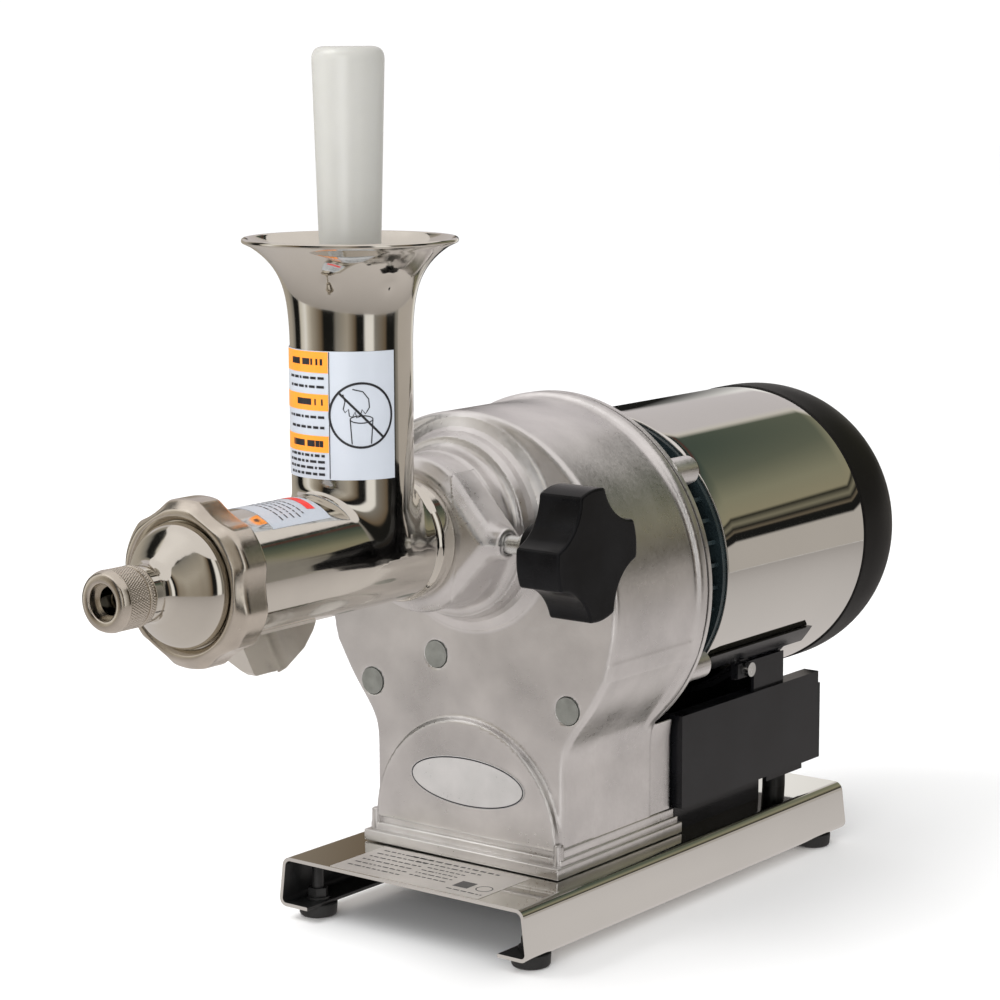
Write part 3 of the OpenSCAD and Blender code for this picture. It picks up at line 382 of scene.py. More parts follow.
# ---------------- materials
def surface(name, color, rough, var=0.08, bump=0.02, bscale=900, nscale=60, streak=None, wear=0.0,
            tint=0.06, metallic=1.0, spec=0.5):
    """A surface with uneven colour and gloss, fine bumps, optional streaks along an axis and edge wear."""
    m = bpy.data.materials.new(name)
    m.use_nodes = True
    N, L = m.node_tree.nodes, m.node_tree.links
    B = N["Principled BSDF"]
    B.inputs["Metallic"].default_value = metallic
    B.inputs["Specular IOR Level"].default_value = spec
    tc = N.new("ShaderNodeTexCoord")
    mp = N.new("ShaderNodeMapping")
    L.new(tc.outputs["Object"], mp.inputs["Vector"])
    if streak:
        mp.inputs["Scale"].default_value = streak
    n1 = N.new("ShaderNodeTexNoise")
    n1.inputs["Scale"].default_value = nscale
    n1.inputs["Detail"].default_value = 6
    L.new(tc.outputs["Object"], n1.inputs["Vector"])
    n2 = N.new("ShaderNodeTexNoise")
    n2.inputs["Scale"].default_value = bscale
    n2.inputs["Detail"].default_value = 4
    L.new(mp.outputs["Vector"], n2.inputs["Vector"])
    ramp = N.new("ShaderNodeValToRGB")
    c = np.array(color[:3])
    lo_c = c * (1 - tint)
    hi_c = np.minimum(c * (1 + tint), 1)
    ramp.color_ramp.elements[0].position = 0.32
    ramp.color_ramp.elements[1].position = 0.68
    ramp.color_ramp.elements[0].color = (*lo_c, 1)
    ramp.color_ramp.elements[1].color = (*hi_c, 1)
    L.new(n1.outputs["Fac"], ramp.inputs["Fac"])
    col = ramp.outputs["Color"]
    if wear:
        geo = N.new("ShaderNodeNewGeometry")
        wr = N.new("ShaderNodeValToRGB")
        wr.color_ramp.elements[0].position = 0.5
        wr.color_ramp.elements[1].position = 0.62
        wr.color_ramp.elements[0].color = (0, 0, 0, 1)
        wr.color_ramp.elements[1].color = (wear, wear, wear, 1)
        L.new(geo.outputs["Pointiness"], wr.inputs["Fac"])
        mx = N.new("ShaderNodeMix")
        mx.data_type = "RGBA"
        mx.inputs["B"].default_value = (*np.minimum(c * 1.35 + 0.05, 1), 1)
        L.new(wr.outputs["Color"], mx.inputs["Factor"])
        L.new(col, mx.inputs["A"])
        col = mx.outputs["Result"]
    L.new(col, B.inputs["Base Color"])
    mr = N.new("ShaderNodeMapRange")
    mr.inputs["From Min"].default_value = 0.3
    mr.inputs["From Max"].default_value = 0.7
    mr.inputs["To Min"].default_value = max(0.01, rough - var)
    mr.inputs["To Max"].default_value = rough + var
    mixn = N.new("ShaderNodeMath")
    mixn.operation = "ADD"
    sc = N.new("ShaderNodeMath")
    sc.operation = "MULTIPLY"
    sc.inputs[1].default_value = 0.5
    L.new(n1.outputs["Fac"], mixn.inputs[0])
    L.new(n2.outputs["Fac"], mixn.inputs[1])
    L.new(mixn.outputs[0], sc.inputs[0])
    L.new(sc.outputs[0], mr.inputs["Value"])
    L.new(mr.outputs["Result"], B.inputs["Roughness"])
    bp = N.new("ShaderNodeBump")
    bp.inputs["Strength"].default_value = 1.0
    bp.inputs["Distance"].default_value = bump * MM
    L.new(n2.outputs["Fac"], bp.inputs["Height"])
    L.new(bp.outputs["Normal"], B.inputs["Normal"])
    return m


# name, colour, roughness and its spread, bump height in millimetres, scales of the fine and the broad noise
MATERIALS = (
    ("mirror_steel", (0.74, 0.73, 0.70), 0.045, 0.02, 0.0015, 260, 12, dict(tint=0.02)),
    ("polished_steel", (0.70, 0.67, 0.61), 0.085, 0.035, 0.004, 240, 26, dict(tint=0.05)),
    ("cast_alu", (0.72, 0.705, 0.70), 0.33, 0.1, 0.05, 520, 30, dict(tint=0.15, wear=0.5)),
    ("plug_alu", (0.42, 0.44, 0.42), 0.5, 0.08, 0.03, 900, 200, dict(tint=0.15)),
    ("nickel", (0.62, 0.57, 0.50), 0.21, 0.07, 0.012, 700, 90, dict(tint=0.08, wear=0.35)),
    ("zinc_steel", (0.66, 0.67, 0.66), 0.24, 0.07, 0.008, 1500, 160, dict(tint=0.1)),
    ("black_steel", (0.03, 0.03, 0.03), 0.35, 0.1, 0.02, 900, 90, dict(metallic=0.6, tint=0.3)),
    ("black_paint", (0.006, 0.006, 0.007), 0.2, 0.06, 0.01, 1100, 40, dict(metallic=0, tint=0.3,
     wear=0.02, spec=0.26)),
    # the blue-green tint of black_cast is a painted sheen: it stands in for the light caught on the motor
    # bell's ribs
    ("black_cast", (0.022, 0.034, 0.038), 0.26, 0.08, 0.02, 900, 60, dict(metallic=0.3, tint=0.3)),
    ("matte_black", (0.005, 0.0045, 0.004), 0.45, 0.08, 0.03, 2600, 50, dict(metallic=0, tint=0.2,
     spec=0.14)),
    ("knob_black", (0.004, 0.004, 0.0045), 0.22, 0.05, 0.006, 1400, 70, dict(metallic=0, tint=0.4,
     wear=0.05, spec=0.12)),
    ("rubber", (0.012, 0.012, 0.012), 0.7, 0.1, 0.03, 1500, 90, dict(metallic=0, tint=0.3)),
    ("gasket", (0.03, 0.026, 0.022), 0.6, 0.1, 0.03, 1500, 90, dict(metallic=0, tint=0.3)),
    ("bearing_steel", (0.6, 0.6, 0.62), 0.14, 0.04, 0.003, 900, 90, dict(tint=0.05)),
    ("gear_steel", (0.42, 0.42, 0.44), 0.26, 0.08, 0.01, 900, 90, dict(tint=0.12, wear=0.4)),
    ("lamination", (0.2, 0.2, 0.22), 0.42, 0.1, 0.08, 40, 90, dict(streak=(1, 60, 1), tint=0.15)),
    ("copper", (0.62, 0.27, 0.11), 0.3, 0.1, 0.25, 220, 90, dict(tint=0.2)),
    ("capacitor_alu", (0.6, 0.61, 0.62), 0.3, 0.08, 0.01, 900, 90, dict(tint=0.08)),
    ("fan_plastic", (0.05, 0.05, 0.055), 0.45, 0.1, 0.02, 1200, 90, dict(metallic=0, tint=0.2)),
    ("nylon_white", (0.78, 0.77, 0.73), 0.4, 0.08, 0.02, 800, 60, dict(metallic=0, tint=0.04)),
    ("pusher_plastic", (0.43, 0.425, 0.40), 0.36, 0.07, 0.012, 420, 34, dict(metallic=0, tint=0.03)),
    ("white_label", (0.46, 0.49, 0.54), 0.34, 0.05, 0.004, 1500, 60, dict(metallic=0, tint=0.02)),
    ("orange_ink", (0.95, 0.30, 0.02), 0.34, 0.05, 0.004, 1500, 60, dict(metallic=0, tint=0.04)),
    ("red_ink", (0.80, 0.03, 0.02), 0.34, 0.05, 0.004, 1500, 60, dict(metallic=0, tint=0.04)),
    ("black_ink", (0.014, 0.014, 0.018), 0.36, 0.05, 0.004, 1500, 60, dict(metallic=0, tint=0.2)),
    ("grey_ink", (0.06, 0.06, 0.06), 0.4, 0.05, 0.004, 1500, 60, dict(metallic=0.2, tint=0.1)),
    ("foil_label", (0.60, 0.57, 0.54), 0.34, 0.06, 0.006, 1300, 50, dict(metallic=0.6, tint=0.05)),
    ("badge_plate", (0.44, 0.425, 0.415), 0.32, 0.06, 0.01, 1200, 90, dict(metallic=0.2, tint=0.06)),
    ("brass", (0.66, 0.48, 0.2), 0.22, 0.06, 0.01, 1500, 120, dict(tint=0.1)),
    ("rocker_red", (0.45, 0.02, 0.015), 0.25, 0.05, 0.004, 900, 90, dict(metallic=0, tint=0.1)),
)
M = {row[0]: surface(*row[:-1], **row[-1]) for row in MATERIALS}
milky = M["pusher_plastic"].node_tree.nodes["Principled BSDF"]
milky.inputs["Subsurface Weight"].default_value = 0.35
milky.inputs["Subsurface Radius"].default_value = (0.006, 0.006, 0.005)
milky.inputs["Subsurface Scale"].default_value = 1.0

# carried-over CAD nodes: material and a small bevel
slot_of = {s["node"]: s["material_slot"] for s in frame["record"]["subparts"]}
for n, ob in NODES.items():
    ob.data.materials.clear()
    ob.data.materials.append(M[slot_of[n]])


def bevel(node, w, seg=2, angle=32):
    """A bevel of w millimetres on the edges of a carried-over node."""
    ob = NODES[node]
    b = ob.modifiers.new("bevel", "BEVEL")
    b.width = w * MM
    b.segments = seg
    b.limit_method = "ANGLE"
    b.angle_limit = math.radians(angle)
    b.harden_normals = False
    b.use_clamp_overlap = True


# ---------------- tray
SHEET_T = 1.6  # thickness of the tray's sheet
SIDE_LEAN = 2.9  # how far the sides lean out
SIDE_H = 22.8  # height over which they lean
TOP_BEND_R = 4.4  # outer radius of the upper bend
LOW_BEND_R = 3.6  # outer radius of the lower bend
FLANGE_W = 16.5  # width of the turned-in flange


def tray():
    """The folded sheet: a top, two leaning sides and two flanges, black on the inside."""
    a, b = lo("base_tray"), hi("base_tray")
    t, lean = SHEET_T, math.atan(SIDE_LEAN / SIDE_H)
    xb = b[0] + 0.5
    xt = xb - SIDE_LEAN
    z0, z1 = a[2], b[2]
    ro1, ro2 = TOP_BEND_R, LOW_BEND_R
    tip = xb - FLANGE_W

    def arc(cx, cz, r, a0, a1, n=12):
        return [(cx + r * math.cos(a0 + (a1 - a0) * i / n), cz + r * math.sin(a0 + (a1 - a0) * i / n))
                for i in range(n + 1)]
    q = math.pi / 2
    nx, nz = math.cos(lean), math.sin(lean)
    c1 = xt + (-ro1 + ro1 * nz) / nx
    c2 = xb - (ro2 + ro2 * nz) / nx
    out = [(0, z1)] + arc(c1, z1 - ro1, ro1, q, lean) + arc(c2, z0 + ro2, ro2, lean, -q)
    out += [(xb - 16.3, z0), (tip, z0 + 0.2), (tip, z0 + t - 0.2), (xb - 16.3, z0 + t)]
    out += arc(c2, z0 + ro2, ro2 - t, -q, lean) + arc(c1, z1 - ro1, ro1 - t, lean, q) + [(0, z1 - t)]
    prof = np.array(out + [(-x, z) for x, z in out[::-1]])
    prof = prof[[i for i in range(len(prof)) if np.linalg.norm(prof[i] - prof[i - 1]) > 1e-4]]
    rows = [a[1], a[1] + 0.25, a[1] + 6, -90, -40, 0, 40, 90, b[1] - 6, b[1] - 0.25, b[1]]
    V = [(x, y, z) for y in rows for x, z in prof]
    F = grid_faces(len(rows), len(prof), False, True)
    # closed across its length, open at both ends
    ob = make("tray_sheet", V, F, "base", "mirror_steel", ("base_tray",))
    bm = bmesh.new()
    bm.from_mesh(ob.data)
    # the two cut ends are closed with one flat face each
    bmesh.ops.holes_fill(bm, edges=[e for e in bm.edges if len(e.link_faces) == 1], sides=0)
    bmesh.ops.recalc_face_normals(bm, faces=bm.faces)
    middle = (z0 + z1) / 2 * MM
    for f in bm.faces:
        f.smooth = len(f.verts) == 4
        c, n = f.calc_center_median(), f.normal
        inside = n.x * c.x < -0.3 * abs(c.x) or (n.z < -0.5) == (c.z > middle) and abs(n.z) > 0.5
        f.material_index = 1 if inside else 0
    bm.to_mesh(ob.data)
    bm.free()
    ob.data.materials.append(M["black_steel"])
    mark_sharp(ob.data, 25)


tray()

# feet: squat rubber pucks with a rounded lower edge
fa, fb = lo("rubber_feet"), hi("rubber_feet")
FOOT_R = 8.7
SCREW_HOLE_R = 2.8
RECESS_R = 4.6
foot_h = fb[2]
foot_outline = [(SCREW_HOLE_R, 0.6), (RECESS_R, 0.6), (RECESS_R, 0), (FOOT_R - 0.4, 0), (FOOT_R, foot_h),
                (SCREW_HOLE_R, foot_h)]
for i, (right, back) in enumerate(((1, 1), (1, -1), (-1, 1), (-1, -1))):
    cx = right * (fb[0] - FOOT_R)
    cy = (fb[1] - FOOT_R) if back > 0 else (fa[1] + FOOT_R)
    prof = round_path(foot_outline, [0, 0.2, 0.3, 1.6, 0.5, 0], 5)
    lathe("foot_%d" % i, prof, "z", (cx, cy, 0), "base", "rubber", 64,
          replaces=("rubber_feet",) if i == 0 else ())

# ---------------- gear case
DRUM_R = 80  # drum
DRUM_BACK = -14  # its back edge along Y
FACE = -81.0  # front face of drum and pedestal
RIM_R = 82.2  # rim at the back of the drum
REAR_R = 82.6  # the pedestal behind the drum starts outside this
ROOM_R = 75  # gear room
PED = 52.0  # half the pedestal's width
FLARE_Z = 72  # height where the pedestal starts to flare
FLARE_R = 62.0  # radius of the flare
BARREL_R = 33.6  # barrel of the snout
CLAMP_Y = -111  # clamp screw
CLAMP_BOSS_R = 6.8
CLAMP_HOLE_R = 4.1
PAD_R = 50.2  # raised half-round pad
PAD_Z = 41.3  # its centre
PRESS_BORE_R = 24.8  # bore that takes the press tube
OUT_SEAT_R = 21.05  # seat of the output bearing
IDLER_SEAT_R = 11.05  # seat of the idler bearing
PLUG_HOLE_R = 6.1
SN = float(lo("gear_case")[1])
IDX = float((lo("idler_bearings")[0] + hi("idler_bearings")[0]) / 2)
IDZ = float((lo("idler_bearings")[2] + hi("idler_bearings")[2]) / 2)

# outline of the stepped root of the snout, as radius and Y
ROOT = [(0, -78), (47.2, -78), (46.6, -81.7), (42.8, -83.8), (41.0, -86), (40.5, -89)]
ROOT += [(38.8 - 5.2 * math.sin(t), -97 + 5.2 * math.cos(t)) for t in np.linspace(-0.1, math.pi / 2, 7)]
ROOT += [(33.6, -100), (0, -100)]


def case_field(p):
    """The casting: drum, pedestal, rim, snout with its clamp wedge, pad, hollows and bores."""
    x, y, z = p
    rr = np.hypot(x, z - MZ)
    d_drum = rr - DRUM_R
    # pedestal outline: straight, then a curve that flares into the drum
    dz = np.clip(z - FLARE_Z, 0, 46)
    w = PED + FLARE_R - np.sqrt(FLARE_R ** 2 - dz ** 2)
    sl = dz / np.sqrt(FLARE_R ** 2 - dz ** 2)
    d_ped = (np.abs(x) - w) / np.sqrt(1 + sl * sl)
    d_ped = np.maximum(d_ped, z - 122)
    d_ped = np.maximum(d_ped, 36 - z)
    d_all = sm(d_drum, d_ped, 6)
    d = ext(d_all, y, FACE, DRUM_BACK, 2.6)
    # the pedestal alone reaches further back than the drum
    rear = np.maximum(d_ped, REAR_R - rr + np.minimum(y - DRUM_BACK, 0) * 10)
    d = sm(d, ext(rear, y, -60, 3, 2.6), 1.2)
    # rim, blended into the drum in front of it
    d = sm(d, ext(rr - RIM_R, y, -19.8, DRUM_BACK, 1.6), 3.2)
    # snout: a stepped root, then the barrel with a wedge that carries the clamp screw
    ra = np.hypot(x, z - AZ)
    root = poly(ra, y, ROOT)
    d = sm(d, root, 2.4)
    nxv, nzv = 18.1, 17.1
    wedge = ((x - 42) * nxv + (np.abs(z - AZ) - 4.4) * nzv) / math.hypot(nxv, nzv)
    wedge = np.maximum(wedge, 20 - x)
    tear = sm(ra - BARREL_R, wedge, 1.0)
    bs = ext(tear, y, SN, -100.5, 1.4)
    cham = (tear + (SN + 4.6 - y)) * 0.7071
    sn = sx(np.minimum(ext(ra - BARREL_R, y, SN, -80, 1.0), bs), cham, 1.4)
    d = sm(d, sn, 3.0)
    d = sm(d, cyl_x(p, CLAMP_Y, AZ, CLAMP_BOSS_R, 30, 46, 1.4), 3)
    # raised half-round pad
    pad = np.maximum(np.hypot(x, z - PAD_Z) - PAD_R, 40 - z)
    d = sm(d, ext(pad, y, FACE - 3, FACE + 4, 1.1), 1.6)
    # gear room, pedestal hollow and bores
    cut = ext(rr - ROOM_R, y, -75, 0, 2)
    cut = np.minimum(cut, box3(p, (-47, -75, 20), (47, 30, 68), 2))
    d = sx(d, -cut, 1.0)
    hub = ext(ra - 25.5, y, -80, -66, 1)
    hub = np.minimum(hub, ext(np.hypot(x - IDX, z - IDZ) - 14.5, y, -80, -66, 1))
    d = sm(d, hub, 1.5)
    bore = ext(ra - PRESS_BORE_R, y, SN - 5, -93, 0)
    bore = np.minimum(bore, ext(ra - 17.1, y, -95, -85, 0))
    bore = np.minimum(bore, ext(ra - 11, y, -90, -76, 0))
    bore = np.minimum(bore, ext(ra - OUT_SEAT_R, y, -78, -60, 0))
    bore = np.minimum(bore, ext(np.hypot(x - IDX, z - IDZ) - IDLER_SEAT_R, y, -77, -60, 0))
    bore = np.minimum(bore, cyl_x(p, CLAMP_Y, AZ, CLAMP_HOLE_R, 20, 60))
    for q in PLUGS:
        hole = np.hypot(x - q[0], z - q[1]) - PLUG_HOLE_R
        bore = np.minimum(bore, ext(hole, y, FACE - 4, FACE + 2.2, 0))
    return sx(d, -bore, 0.7)


# the three plugs: one on each side and one in the middle
co = np.array([v.co for v in NODES["case_plugs"].data.vertices]) * 1000
PLUGS = []
for own in (co[:, 0] > 30, co[:, 0] < -30, np.abs(co[:, 0]) < 30):
    a, b = co[own].min(0), co[own].max(0)
    PLUGS.append((float(a[0] + b[0]) / 2, float(a[2] + b[2]) / 2))


def near_snout(P):
    """True for the points of the stepped snout."""
    return (np.hypot(P[:, 0], P[:, 2] - AZ) < 53) & (P[:, 1] < -76.5)


# the stepped snout has a finer net than the rest of the casting
field("case_casting", case_field, (-84, SN - 2, 36.5), (84, 6, MZ + 84), 1.25, "base", "cast_alu",
      ("gear_case",), keep_if=lambda P: ~near_snout(P))
field("case_snout", case_field, (-55, SN - 2, AZ - 55), (55, -75, AZ + 51), 0.62, "base", "cast_alu",
      keep_if=near_snout, lift=0.04)


def slab(name, a, b, r, seg=3):
    """A cast block from corner a to corner b with all edges rounded by r."""
    bm = bmesh.new()
    bmesh.ops.create_cube(bm, size=1)
    for v in bm.verts:
        v.co = Vector([(a[k] + b[k]) / 2 + v.co[k] * (b[k] - a[k]) for k in range(3)])
    bmesh.ops.bevel(bm, geom=bm.edges[:], offset=r, segments=seg, affect="EDGES", profile=0.5)
    V = [v.co[:] for v in bm.verts]
    F = [[v.index for v in f.verts] for f in bm.faces]
    bm.free()
    return make(name, V, F, "base", "cast_alu", sharp=50)


# three steps of the pedestal's foot, and a small lug at each front corner
fz = TT + 0.4
slab("case_foot_low", (-54.4, -88, fz), (54.4, 8, fz + 5.1), 0.7)
slab("case_foot_mid", (-53.4, -84.4, fz + 4), (53.4, 6, fz + 8.3), 0.9)
slab("case_foot_top", (-52.6, -82.4, fz + 7), (52.6, 4, fz + 12.6), 1.1)
LUG_X, LUG_Y = 51, -82.6
lug = [(0.01, fz + 4), (2.4, fz + 4), (2.2, fz + 14.5), (0.01, fz + 14.5)]
lug = round_path(lug, [0, 0, 1.2, 0], 4, False)
for side, side_x in (("l", -LUG_X), ("r", LUG_X)):
    lathe("case_lug_" + side, lug, "z", (side_x, LUG_Y, 0), "base", "cast_alu", 32, closed=False)

# ---------------- press tube
TR, TW = 25.4, 1.6  # radius and wall of both tubes
FEED_R = TR - 0.2  # the feed tube is a hair thinner, so that the joint shows
COLLAR_R = 26.8
COLLAR = (-131.5, -121.4)
TUBE_BACK = -121.3
SPIGOT_R = 24.5  # part that sits in the snout
SPIGOT_BORE_R = 22.4
TF = float(lo("press_body")[1])
JZ, JY = 216.0, -194.0  # where the elbow meets the feed tube and the front tube
JOIN_BACK = -119  # where it meets the spigot


def press_field(p):
    """The elbow where the two tubes meet, with the collar behind it."""
    x, y, z = p
    rh = np.hypot(x, z - AZ)
    rv = np.hypot(x, y - FY)
    collar = ext(rh - COLLAR_R, y, *COLLAR, 2.2)
    outer = sm(np.maximum(rh - TR, y - TUBE_BACK), np.maximum(rv - FEED_R, AZ - z), 5.5)
    outer = sm(outer, collar, 1.6)
    outer = np.minimum(outer, np.maximum(rh - SPIGOT_R, -130 - y))
    inner = np.maximum(rh - (TR - TW), y + 128)
    inner = np.minimum(inner, rh - SPIGOT_BORE_R)
    inner = sm(inner, np.maximum(rv - (FEED_R - TW), AZ - z), 3)
    return sx(outer, -inner, 0.5)


STEEL = "polished_steel"
field("press_elbow", press_field, (-29, JY - 2, AZ - 29), (29, -117, JZ + 2), 0.8, "press", STEEL,
      ("press_body",), cuts=((2, JZ, -1), (1, JY, 1), (1, JOIN_BACK, -1)))
# spigot behind the collar
spigot = [(SPIGOT_BORE_R, JOIN_BACK), (SPIGOT_R, JOIN_BACK), (SPIGOT_R, -96), (SPIGOT_BORE_R, -96)]
lathe("press_spigot", round_path(spigot, [0, 0, 1, 0.4], 3), "y", (0, 0, AZ), "press", STEEL, 128)

FUNNEL_R = 43.6  # radius of the funnel at its rim
FUNNEL_Z = 262.0  # height where it starts to flare
ROLL_R = 1.15  # rolled edge
ROLL_AT = (43.1, RIM + 0.7)


def flare(s):
    """Radius of the funnel, from 0 at its foot to 1 at its rim."""
    return TR + (FUNNEL_R - TR) * (0.28 * s ** 2 + 0.72 * s ** 5)


ss = np.linspace(0, 1, 26)
outer_side = [(flare(s) - 0.2, FUNNEL_Z + (RIM - FUNNEL_Z) * s) for s in ss]
inner_side = [(flare(s) - 0.2 - TW, FUNNEL_Z + (RIM - FUNNEL_Z) * s) for s in ss[::-1]]
roll = [(ROLL_AT[0] + ROLL_R * math.cos(t), ROLL_AT[1] + ROLL_R * math.sin(t))
        for t in np.linspace(-0.9, 2.9, 12)]
prof = [(FEED_R, z) for z in (JZ, 230, 245, 255)] + outer_side[:-1] + roll + inner_side[1:]
prof += [(FEED_R - TW, z) for z in (255, 245, 230, JZ)]

DIMPLES = ((-1.16, 291), (-0.30, 290))  # angle round the tube and height
DIMPLE_DEPTH = 0.9


def dimples(T, A, R):
    """Pressed bumps under the funnel's rim."""
    w = np.zeros_like(R)
    for ang, z in DIMPLES:
        dth = (T - ang + math.pi) % TAU - math.pi
        d2 = (dth * 27) ** 2 + (A - z) ** 2
        w += DIMPLE_DEPTH * np.exp(-d2 / 7.5)
    return w


lathe("feed_funnel", prof, "z", (0, FY, 0), "press", STEEL, 256, wave=dimples, sharp=60)
# front tube with its thread ring
THREAD_R = 28.9
front_tube = [(TR, JY), (TR, -246.2), (27.4, -246.8), (THREAD_R, -247.6), (THREAD_R, TF + 0.8), (28.1, TF),
              (TR - TW, TF), (TR - TW, JY)]
lathe("press_front", front_tube, "y", (0, 0, AZ), "press", STEEL, 192, sharp=30)

# ---------------- cone, nut, nozzle
NY0, NY1 = lo("ring_nut")[1], hi("ring_nut")[1]


NUT_R = 33.4  # over the lobes
NUT_THREAD_R = 29.2
NUT_MOUTH_R = 25.35  # hole the cone comes through
SCOOP_R = 40.4  # six scoops between the lobes
SCOOP_AT = 71.6  # how far their centres lie from the axis


def nut_wave(T, A, R):
    """The scoops, deepest at the rim and gone near the mouth."""
    f = (T - math.radians(1.5) + math.pi / 6) % (math.pi / 3) - math.pi / 6
    scoop = SCOOP_AT * np.cos(f) - np.sqrt(SCOOP_R ** 2 - (SCOOP_AT * np.sin(f)) ** 2)
    rim = sm(scoop, NUT_R + 0 * f, 1.0)
    return (rim - NUT_R) * np.clip((R - 27.6) / (NUT_R - 27.6), 0, 1)


nprof = round_path([(NUT_MOUTH_R, NY0 + 2.2), (27.4, NY0), (29.4, NY0), (NUT_R, NY0 + 4.2), (NUT_R, NY1),
                    (NUT_THREAD_R, NY1), (NUT_THREAD_R, NY0 + 3.6), (NUT_MOUTH_R, NY0 + 3.6)],
                   [0.3, 0.5, 0.9, 1.6, 1.0, 0.4, 0, 0.2], 5)
lathe("lobed_nut", resample(nprof, 0.8, int), "y", (0, 0, AZ), "nut", "nickel", 320,
      wave=nut_wave, replaces=("ring_nut",), sharp=50)

# cone: flange, outer curve, neck, bore and inner curve
CONE_BORE_R = 5.6
SEAT_R = 8.2  # threaded end that the nozzle cap turns on
cprof = [(28.6, -254.1), (28.6, -256.3), (24.9, -256.4)]
cprof += list(spline([(24.9, -258), (24.85, -259.9), (24.1, -262.1), (22.5, -264.5), (19.9, -267.1),
                      (17, -269.8), (14.4, -272.2), (12.5, -274.2), (11.5, -276.2), (11.25, -278),
                      (11.25, -280)], 6))
cprof += [(11.25, -282.9), (10.9, -283.2), (SEAT_R, -283.3), (SEAT_R, -296.2), (7.9, -296.5),
          (CONE_BORE_R, -296.5), (CONE_BORE_R, -279)]
cprof += list(spline([(8, -274.6), (12, -270.8), (17.4, -267), (21.2, -263.5), (22.9, -260.5)], 4))
cprof += [(22.9, -254.1)]
lathe("outlet_cone", cprof, "y", (0, 0, AZ), "outlet", STEEL, 192, replaces=("pulp_cone",), sharp=35)

NT = lo("nozzle_cap")[1]
NB = hi("nozzle_cap")[1]
KNURL_R = 12.1
KNURL_FROM_R = 11.55  # only the outer face is knurled
KNURLS = 74
KNURL_PITCH = 1.7
KNURL_STEP = 0.22


def knurl(depth, y0, y1):
    """Crossed grooves round a ring between y0 and y1."""
    def w(T, A, R):
        k1 = np.abs(((KNURLS * T / TAU + (A - y0) / KNURL_PITCH) % 1) - 0.5) * 2
        k2 = np.abs(((KNURLS * T / TAU - (A - y0) / KNURL_PITCH) % 1) - 0.5) * 2
        h = np.minimum(k1, k2)
        band = np.clip((A - y0) / 0.5, 0, 1) * np.clip((y1 - A) / 0.5, 0, 1) * (R > KNURL_FROM_R)
        return -depth * (1 - h) * band
    return w


nose = [(7, NT + 6), (7, NT + 0.5), (8.8, NT), (11.0, NT + 0.5), (12.0, NT + 3.2), (12.0, NT + 4.0)]
nose = round_path(nose, [0, 0.9, 1.2, 1.8, 0.8, 0], 5, False)
grip = resample([(KNURL_R, NT + 4.1), (KNURL_R, NB - 0.5)], KNURL_STEP)
back = [(11.7, NB), (9.8, NB), (9.8, NB - 1.7), (8.5, NB - 1.7), (8.5, NT + 6)]
lathe("nozzle_body", np.vstack([nose, grip, back]), "y", (0, 0, AZ), "nozzle", "nickel", 480,
      replaces=("nozzle_cap",), wave=knurl(0.36, NT + 4.1, NB), sharp=60)
RL0, RL1 = lo("nozzle_lock_ring")[1], hi("nozzle_lock_ring")[1]
grip = resample([(KNURL_R, RL0 + 0.4), (KNURL_R, RL0 + 2.2)], KNURL_STEP)
rprof = np.vstack([[(8.3, RL0), (11.6, RL0)], grip, [(11.5, RL1 - 0.2), (11.3, RL1), (8.3, RL1)]])
lathe("nozzle_ring", rprof, "y", (0, 0, AZ), "outlet", "nickel", 480,
      replaces=("nozzle_lock_ring",), wave=knurl(0.32, RL0 + 0.2, RL0 + 2.6), sharp=60)

# ---------------- motor
W0, W1 = lo("motor_wrap")[1], hi("motor_wrap")[1]
WR = float(hi("motor_wrap")[0])
wrap_in = WR - 1.1
wprof = round_path([(wrap_in, W0), (WR, W0), (WR, W0 + 8), (WR, W0 + 60), (WR, W1 - 8), (WR, W1),
                    (wrap_in, W1), (wrap_in, W0 + 60)], [0.3, 0.5, 0, 0, 0, 0.5, 0.3, 0], 3)
lathe("wrap_sheet", wprof, "y", (0, 0, MZ), "base", "mirror_steel", 384,
      replaces=("motor_wrap",), sharp=50)
CY = float(hi("motor_end_cap")[1])
DOME_DROP = 15.5  # how much the dome narrows
DOME_POWER = 2.6  # how late it does so
SLOT_PITCH = 9


def cap_field(p):
    """The end cap: a hollow dome with nine slots in its end and a lip inside the wrap."""
    x, y, z = p
    r = np.hypot(x, z - MZ)
    t = np.clip((y - (W1 + 8)) / (CY - W1 - 8), 0, 1.0)
    prof_r = WR + 0.4 - DOME_DROP * t ** DOME_POWER
    sl = DOME_DROP * DOME_POWER * t ** (DOME_POWER - 1) / (CY - W1 - 8)
    side = (r - prof_r) / np.sqrt(1 + sl * sl)
    d = sx(side, y - CY, 9)
    d = sx(d, W1 + 0.15 - y, 0.8)
    d = np.minimum(d, np.maximum(np.maximum(r - (WR - 1.3), W1 - 4 - y), y - W1 - 4))
    inn = sx((r - prof_r + 3.6) / np.sqrt(1 + sl * sl), y - CY + 4, 7)
    d = np.maximum(d, -inn)
    for i in range(-4, 5):
        w = 40 - abs(i) * 4
        sz = MZ + i * SLOT_PITCH
        d = sx(d, -box3(p, (-w, CY - 9, sz - 2), (w, CY + 5, sz + 2), 1.9), 0.8)
    return d


field("end_cap_dome", cap_field, (-72, W1 - 6, MZ - 72), (72, CY + 2, MZ + 72), 1.25, "base",
      "matte_black", ("motor_end_cap",))

# ---------------- clamp knob
KX0, KX1 = 70.5, float(hi("clamp_knob")[0])
KNOB_R = 27.8
KNOB_CUT_R = 21.6  # four round cuts between the lobes
KNOB_CUT_AT = 42.1  # how far their centres lie from the axis
KNOB_CUT_ANGLE = 52.5  # the first one
KNOB_NECK_R = 10
STUD_HOLE_R = 4.06


